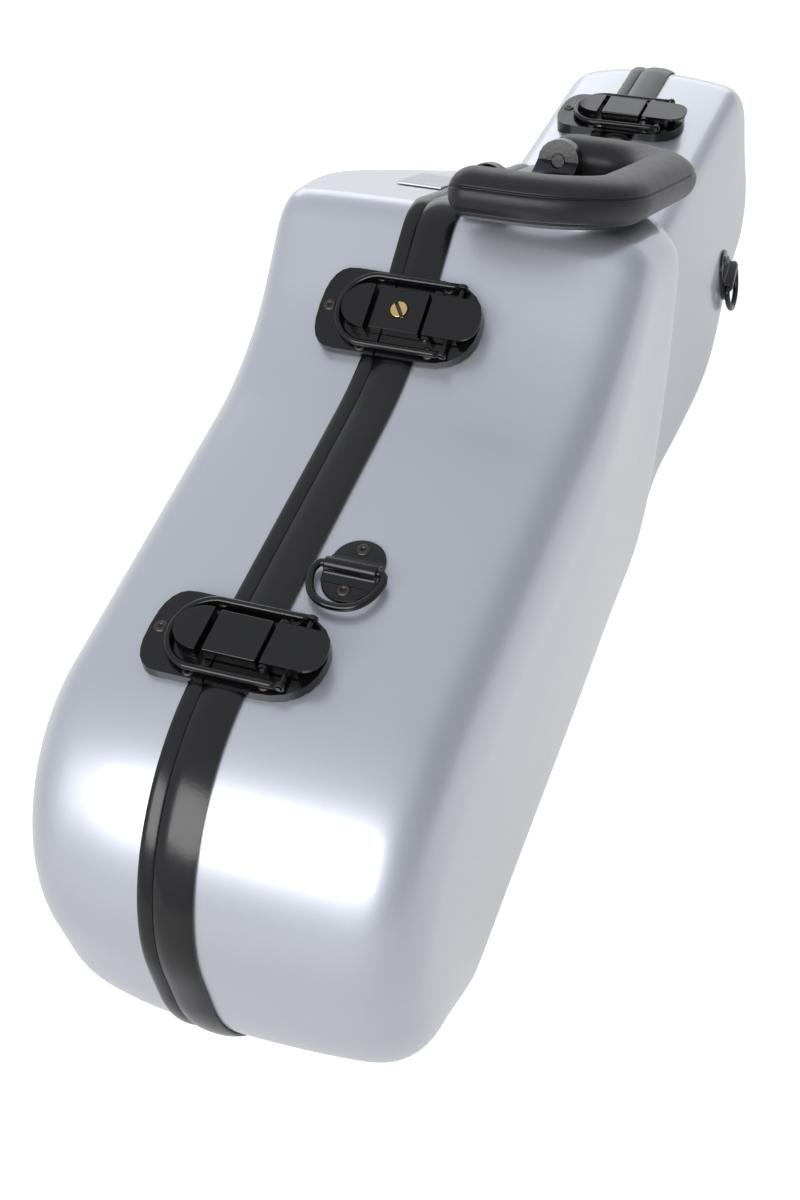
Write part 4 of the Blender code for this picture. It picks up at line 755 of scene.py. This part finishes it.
def grip_matrix():
    """Frame of the grip: u along the loop's pivots, v away from the seam, w outwards."""
    z, slope = outline_frame(GRIP_X)
    along = Vector((-math.cos(slope), 0, -math.sin(slope)))
    away = Vector((0, -1, 0))
    out = along.cross(away)
    turn = Matrix((along, away, out)).transposed().to_4x4()
    return Matrix.Translation((GRIP_X, -GRIP_Y, z)) @ turn


def grip_plan():
    """Round ends, legs, bends and bar: points, directions, and the section's size at each point."""
    leg = EAR_SPAN / 2 + EAR_THICKNESS + GRIP_LEG_GAP + GRIP_HALF_WIDTH
    bend = GRIP_CORNER_RADIUS
    ends, legs, bends, bars = GRIP_STEPS
    cap = np.linspace(0, math.pi / 2, ends + 1)[:-1]
    start = np.stack([np.full(ends, leg), -GRIP_RADIUS * GRIP_END_REACH * np.cos(cap)], 1)
    shrink = np.maximum(np.sin(cap), GRIP_END_SHARE)
    straight = np.stack([np.full(legs, leg), np.linspace(0, GRIP_REACH - bend, legs + 1)[:-1]], 1)
    turns = np.linspace(0, math.pi / 2, bends + 1)
    arc = np.stack([leg - bend + bend * np.cos(turns), GRIP_REACH - bend + bend * np.sin(turns)], 1)
    half = np.vstack([start, straight, arc])
    bar = np.stack([np.linspace(leg - bend, bend - leg, bars + 2)[1:-1], np.full(bars, GRIP_REACH)], 1)
    plan = np.vstack([half, bar, half[::-1] * (-1, 1)])
    sizes = np.concatenate([shrink, np.ones(len(plan) - 2 * ends), shrink[::-1]])
    run = np.gradient(plan, axis=0)
    run[:ends], run[-ends:] = (0, 1), (0, -1)
    return plan, run, sizes


def grip_section():
    """The oval (a cos t, b sin t), with b a little larger below the middle.

    It is multiplied by 1 + rise of the band - depth * exp(-(d / width)^2) at each parting line.
    """
    angle = np.linspace(-math.pi, math.pi, GRIP_SECTION_POINTS + 1)[:-1]
    upper, lower = GRIP_LINES
    lines = (np.exp(-((angle - upper) / GRIP_LINE_WIDTH) ** 2)
             + np.exp(-((angle - lower) / GRIP_LINE_WIDTH) ** 2))
    band = (GRIP_BAND_RISE * smooth_step((angle - lower) / GRIP_BAND_EDGE)
            * smooth_step((upper - angle) / GRIP_BAND_EDGE))
    swell = 1 + band - GRIP_LINE_DEPTH * lines
    high_side = np.where(np.sin(angle) < 0, GRIP_RADIUS + GRIP_BELLY, GRIP_RADIUS)
    return np.stack([GRIP_HALF_WIDTH * swell * np.cos(angle), high_side * swell * np.sin(angle)], 1)


def add_grip():
    """The rubber loop: an oval section carried round two legs, two bends and the bar."""
    plan, run, sizes = grip_plan()
    piece = sweep_plan("handle_grip_moulded", grip_matrix(), plan, run, GRIP_AXIS_HEIGHT, grip_section(),
                       GRIP_RUBBER, "grip", sizes=sizes)
    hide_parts("handle_grip")


def add_rivets(name, matrix, places, plate_top, radius, body):
    """Hollow rivets: a profile of rim and dimple, in shares of the radius, turned about each place."""
    share = np.array(RIVET_PROFILE) * radius
    rows, count = len(share), RIVET_POINTS
    ring = circle(1, count)
    points, faces = [], []
    for u, v in places:
        spot = np.concatenate([share[:, None, :1] * ring[None], np.repeat(share[:, None, 1:], count, 1)], 2)
        faces += (grid_quads(rows, count) + len(points) * count * rows).tolist()
        points.append(spot.reshape(-1, 3) + (u, v, plate_top + RIVET_LIFT))
    piece = put_mesh(name, in_frame(matrix, np.vstack(points)), faces, LOOKS["rivet"], body)
    merge_and_turn(piece, RIVET_MERGE, SHARP_ANGLE)


def latch_matrix(which):
    """The latch's frame: u along the case, v towards the lid, w outwards."""
    return slope_matrix(LATCH_X_SHARES[which] * CASE_LENGTH, 0)


def add_bail(which, matrix):
    """The wire: two straights and a half ellipse, falling evenly from the pins to the boss."""
    pin_v, pin_w = BAIL_PIN
    angles = np.linspace(0, math.pi, BAIL_BEND_POINTS)
    ring = np.stack([BAIL_HALF_WIDTH * np.cos(angles), BAIL_CENTRE + BAIL_ROUND * np.sin(angles)], 1)
    runs = np.linspace(pin_v + BAIL_EYE[1] * BAIL_EYE_START, BAIL_CENTRE, BAIL_LEG_POINTS + 1)[:-1]
    legs = np.stack([np.full(BAIL_LEG_POINTS, BAIL_HALF_WIDTH), runs], 1)
    plan = np.vstack([legs, ring, legs[::-1] * (-1, 1)])
    slope = (BAIL_END_W - pin_w) / (BAIL_CENTRE + BAIL_ROUND - pin_v)
    height = pin_w + slope * (plan[:, 1] - pin_v)
    name = f"latch_{which}_bail"
    wire = sweep_plan(name + "_wire", matrix, plan, np.gradient(plan, axis=0), height, circle(BAIL_WIRE),
                      LOOKS["black_lacquer"], f"bail_{which}")
    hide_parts(name)


def add_bail_eyes(which, matrix):
    """An eye round each end of the pin: a squarish section, |cos|^0.5 by |sin|^0.5, turned about the pin."""
    inner, outer, half_length = BAIL_EYE
    middle, wide = (inner + outer) / 2, (outer - inner) / 2
    section = signed_power(circle(1), BAIL_EYE_POWER) * (wide, half_length)
    turn = np.array(matrix)[:3, :3]
    radial = np.column_stack([np.zeros(BAIL_EYE_POINTS), circle(1, BAIL_EYE_POINTS)])
    for side in (-1, 1):
        spot = np.array((side * BAIL_HALF_WIDTH, *BAIL_PIN)) + radial * middle
        eye = sweep(f"latch_{which}_bail_eye_{side + 1}", in_frame(matrix, spot), radial @ turn.T,
                    np.tile(turn[:, 0], (BAIL_EYE_POINTS, 1)), section, LOOKS["black_lacquer"],
                    f"bail_{which}", closed=True)


def add_latches():
    """The latch pieces with rounded sheet edges, wire bails and hollow rivets."""
    for which in LATCH_X_SHARES:
        matrix = latch_matrix(which)
        for part, width in LATCH_EASES.items():
            piece = eased(f"latch_{which}_{part}", width, LOOKS["black_lacquer"], 3)
        add_bail(which, matrix)
        add_bail_eyes(which, matrix)
        for body, places in (("lid", KEEPER_RIVETS), ("base", BASE_RIVETS)):
            add_rivets(f"latch_{which}_{body}_rivets", matrix, places, PLATE_TOP, RIVET_RADIUS, body)
        add_rivets(f"latch_{which}_end_rivet", matrix, (END_RIVET,), PLATE_TOP, END_RIVET_RADIUS, "lid")


def add_lock_slot_shade():
    """A dark box at the bottom of the key slot in the brass barrel: painted shade in the recess, not the
    brass's own colour.
    """
    wide, long, high, low = LOCK_SLOT_SHADE
    top = LATCH_TOP + LOCK_PROUD
    corners = [(a * wide / 2, b * long / 2, top - depth) for depth in (low, high) for a, b in
               ((-1, -1), (1, -1), (1, 1), (-1, 1))]
    turn = Matrix.Translation((0, (COVER_FRONT - COVER_REAR) / 2, 0)) @ Matrix.Rotation(
        math.radians(LOCK_SLOT_DEGREES), 4, "Z")
    points = in_frame(latch_matrix("bell") @ turn, corners)
    faces = [(3, 2, 1, 0), (4, 5, 6, 7), (0, 1, 5, 4), (1, 2, 6, 5), (2, 3, 7, 6), (3, 0, 4, 7)]
    # Painted shade: the slot's bottom takes the dark rivet finish instead of brass
    piece = put_mesh("lock_slot_painted_shade", points, faces, LOOKS["rivet"], "lock")
    piece.data.shade_flat()


def add_bracket_plate(which, matrix):
    """A stadium plate, its top edge eased, drawn in to a line at the middle of its top."""
    wide, top, count = RING_PLATE_WIDE, RING_PLATE_TOP, RING_PLATE_END_POINTS
    bend = RING_PLATE_HALF - wide
    angle = np.linspace(-math.pi / 2, math.pi / 2, count)
    turn = np.concatenate([angle, angle + math.pi])
    middle = np.column_stack([np.repeat((bend, -bend), count) + RING_PLATE_SHIFT, np.zeros(2 * count)])
    ring = np.stack([np.cos(turn), np.sin(turn)], 1)
    rows = [(wide, RING_PLATE_SOLE)]
    rows += [(wide - inset, top - drop) for inset, drop in RING_PLATE_EDGE]
    rows += [(radius, top) for radius in RING_PLATE_INNER_RADII]
    points = np.vstack([np.column_stack([middle + ring * r, np.full(2 * count, w)]) for r, w in rows])
    piece = put_mesh(f"strap_bracket_{which}_plate", in_frame(matrix, points),
                     grid_quads(len(rows), 2 * count), LOOKS["black_lacquer"], "base")
    merge_and_turn(piece, BRACKET_MERGE, SHARP_ANGLE)
    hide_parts(f"strap_bracket_{which}")


def add_bracket_bridge(which, matrix):
    """A rolled bridge: fillet, flank and half round over the bar, drawn in at both ends."""
    roll = RING_BRIDGE_TOP - RING_AXIS_HEIGHT
    half_turn = np.linspace(math.pi, 0, RING_BRIDGE_POINTS)
    foot = np.array(RING_BRIDGE_FOOT) * (roll, 1)
    arch = np.stack([roll * np.cos(half_turn), RING_AXIS_HEIGHT + roll * np.sin(half_turn)], 1)
    profile = np.vstack([foot, arch, foot[::-1] * (-1, 1)])
    centre = np.array((0, RING_BRIDGE_MIDDLE))
    spans = [(scale, setback - RING_PLATE_WIDE) for scale, setback in RING_BRIDGE_ENDS]
    spans += [(scale, -v) for scale, v in spans[::-1]]
    points = np.vstack([np.insert(centre + (profile - centre) * scale, 1, v, axis=1) for scale, v in spans])
    piece = put_mesh(f"strap_bracket_{which}_bridge", in_frame(matrix, points),
                     grid_quads(len(spans), len(profile)), LOOKS["black_lacquer"], "base")
    merge_and_turn(piece, BRACKET_MERGE, SHARP_ANGLE)


def ring_frames():
    """Frames of the two strap rings: on the latch side, and on the deep side near the neck."""
    x, y = BOW_RING
    bow = slope_matrix(x, -y, BOW_RING_SINK)
    x, z = NECK_RING
    step = RING_PLATE_HALF
    rise = float(side_depth(BASE, x, z + step) - side_depth(BASE, x, z - step)) / (2 * step)
    run = float(side_depth(BASE, x + step, z) - side_depth(BASE, x - step, z)) / (2 * step)
    up = Vector((0, -rise, 1)).normalized()
    out = Vector((-run, -1, -rise)).normalized()
    turn = Matrix((up, out.cross(up), out)).transposed().to_4x4()
    depth = float(side_depth(BASE, x, z)) + BASE["dome"] * NECK_RING_DOME_SHARE
    return {"bow": bow, "neck": Matrix.Translation((x, -depth, z)) @ turn}


def add_rings():
    """D rings in their brackets: a superellipse loop below a straight bar, with small turns between."""
    half = RING_HALF_WIDTH
    t = np.linspace(RING_START_ANGLE, math.pi - RING_START_ANGLE, RING_LOOP_POINTS)
    loop = np.stack([-RING_REACH * signed_power(np.sin(t), RING_POWER),
                     half * signed_power(np.cos(t), RING_POWER)], 1)
    corner = np.array(RING_TURNS) * (1, half)
    reach = np.linspace(-RING_BAR_SHARE, RING_BAR_SHARE, RING_BAR_POINTS)
    bar = np.stack([np.zeros(RING_BAR_POINTS), reach * half], 1)
    plan = np.vstack([loop, corner, bar, corner[::-1] * (1, -1)])
    run = np.roll(plan, -1, 0) - np.roll(plan, 1, 0)
    for which, matrix in ring_frames().items():
        ring = sweep_plan(f"strap_ring_{which}_wire", matrix, plan, run, RING_AXIS_HEIGHT,
                          circle(RING_WIRE), LOOKS["black_lacquer"], f"ring_{which}", closed=True)
        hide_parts(f"strap_ring_{which}")
        add_bracket_plate(which, matrix)
        add_bracket_bridge(which, matrix)
        add_rivets(f"strap_bracket_{which}_rivets", matrix, RING_RIVETS, RING_PLATE_TOP,
                   RING_RIVET_RADIUS, "base")


def add_fittings():
    """The saddle, hinge leaves, feet, badge and lock with eased edges."""
    for name, width, look, slot in (
            ("handle_saddle", SADDLE_EASE, LOOKS["black_lacquer"], "black_rubber"),
            ("badge_plate", SMALL_EASE, BADGE_METAL, "steel"),
            ("lock_barrel", SMALL_EASE, LOOKS["brass"], "brass")):
        piece = eased(name, width, look, 3)
    for which in ("bow", "mid", "neck"):
        for half in ("base", "lid"):
            piece = eased(f"hinge_{which}_{half}_leaf", SMALL_EASE, LOOKS["black_lacquer"], 1)
    for name in ("foot_base_bow", "foot_base_neck", "foot_lid_bow", "foot_lid_neck"):
        piece = eased(name, FOOT_EASE, LOOKS["black_rubber"], 2)


# Stage, world, lamps and camera

def axis_ramp(tree, coordinate, axis, values):
    """A smooth ramp over one axis of a coordinate: from, to, and its values there."""
    place = tree.nodes.new("ShaderNodeTexCoord")
    axes = tree.nodes.new("ShaderNodeSeparateXYZ")
    ramp = tree.nodes.new("ShaderNodeMapRange")
    ramp.interpolation_type = "SMOOTHSTEP"
    for key, value in zip(("From Min", "From Max", "To Min", "To Max"), values):
        ramp.inputs[key].default_value = value
    tree.links.new(place.outputs[coordinate], axes.inputs["Vector"])
    tree.links.new(axes.outputs[axis], ramp.inputs["Value"])
    return ramp.outputs["Result"]


def camera_level(tree, level, on_camera, socket):
    """Drives a socket with a level, and with another one for what the camera sees directly."""
    path = tree.nodes.new("ShaderNodeLightPath")
    choice = tree.nodes.new("ShaderNodeMapRange")
    choice.inputs["To Max"].default_value = on_camera
    tree.links.new(level, choice.inputs["To Min"])
    tree.links.new(path.outputs["Is Camera Ray"], choice.inputs["Value"])
    tree.links.new(choice.outputs["Result"], socket)


def add_floor():
    """A pale floor that glows a little, more so towards the neck end."""
    size = FLOOR_HALF
    data = bpy.data.meshes.new("floor")
    corners = [(-size, -size, 0), (size, -size, 0), (size, size, 0), (-size, size, 0)]
    data.from_pydata(corners, [], [(0, 1, 2, 3)])
    floor = place_object("floor", data)
    look = new_look("pale_floor", (0.40, 0.40, 0.40), 0.8, specular=0.2)
    tree = look.node_tree
    shader = tree.nodes["Principled BSDF"]
    shader.inputs["Emission Color"].default_value = (1, 1, 1, 1)
    glow = axis_ramp(tree, "Object", "X", FLOOR_GLOW)
    camera_level(tree, glow, FLOOR_ON_CAMERA, shader.inputs["Emission Strength"])
    data.materials.append(look)


def add_world():
    """A world that the camera sees as white; elsewhere it is level * (1 - shade over y * shade over z)."""
    world = bpy.data.worlds.new("studio")
    bpy.context.scene.world = world
    world.use_nodes = True
    tree = world.node_tree
    back = tree.nodes["Background"]
    back.inputs["Color"].default_value = WORLD_COLOUR
    both = tree.nodes.new("ShaderNodeMath")
    both.operation = "MULTIPLY"
    tree.links.new(axis_ramp(tree, "Generated", "Y", WORLD_SHADE_Y), both.inputs[0])
    tree.links.new(axis_ramp(tree, "Generated", "Z", WORLD_SHADE_Z), both.inputs[1])
    room = tree.nodes.new("ShaderNodeMath")
    room.operation = "MULTIPLY_ADD"
    room.inputs[1].default_value = -WORLD_LEVEL
    room.inputs[2].default_value = WORLD_LEVEL
    tree.links.new(both.outputs["Value"], room.inputs[0])
    camera_level(tree, room.outputs["Value"], WORLD_ON_CAMERA, back.inputs["Strength"])


def add_lamps():
    """A large softbox above the bow end and a low one beyond the neck, each turned to its target."""
    for name, place, target, size, power in LAMPS:
        data = bpy.data.lights.new(name, "AREA")
        data.shape = "RECTANGLE"
        data.size, data.size_y = size
        data.energy = power
        lamp = place_object(name, data)
        lamp.location = place
        lamp.rotation_euler = (Vector(target) - Vector(place)).to_track_quat("-Z", "Y").to_euler()


def add_camera():
    """The photograph's camera: about 57 mm on a 24 by 36 mm frame, looking down along the case."""
    level = math.cos(CAMERA_ELEVATION)
    forward = Vector((level * math.cos(CAMERA_AZIMUTH), level * math.sin(CAMERA_AZIMUTH),
                      math.sin(CAMERA_ELEVATION)))
    right = forward.cross(Vector((0, 0, 1))).normalized()
    up = right.cross(forward)
    across = right * math.cos(CAMERA_ROLL) + up * math.sin(CAMERA_ROLL)
    upward = -right * math.sin(CAMERA_ROLL) + up * math.cos(CAMERA_ROLL)
    data = bpy.data.cameras.new("photo_camera")
    data.sensor_fit = "VERTICAL"
    data.sensor_height = 36
    data.sensor_width = 24
    data.lens = CAMERA_LENS
    data.clip_start = 0.01
    camera = place_object("photo_camera", data)
    place = Vector(CAMERA_PLACE) + Vector(ORIGIN)
    camera.matrix_world = Matrix(((across.x, upward.x, -forward.x, place.x),
                                  (across.y, upward.y, -forward.y, place.y),
                                  (across.z, upward.z, -forward.z, place.z), (0, 0, 0, 1)))
    bpy.context.scene.camera = camera


bpy.context.scene.view_settings.view_transform = "Standard"
add_camera()
add_floor()
add_world()
add_lamps()
dress_nodes()
add_shells()
add_seals()
add_liners()
add_pads()
add_grip()
add_latches()
add_lock_slot_shade()
add_rings()
add_fittings()
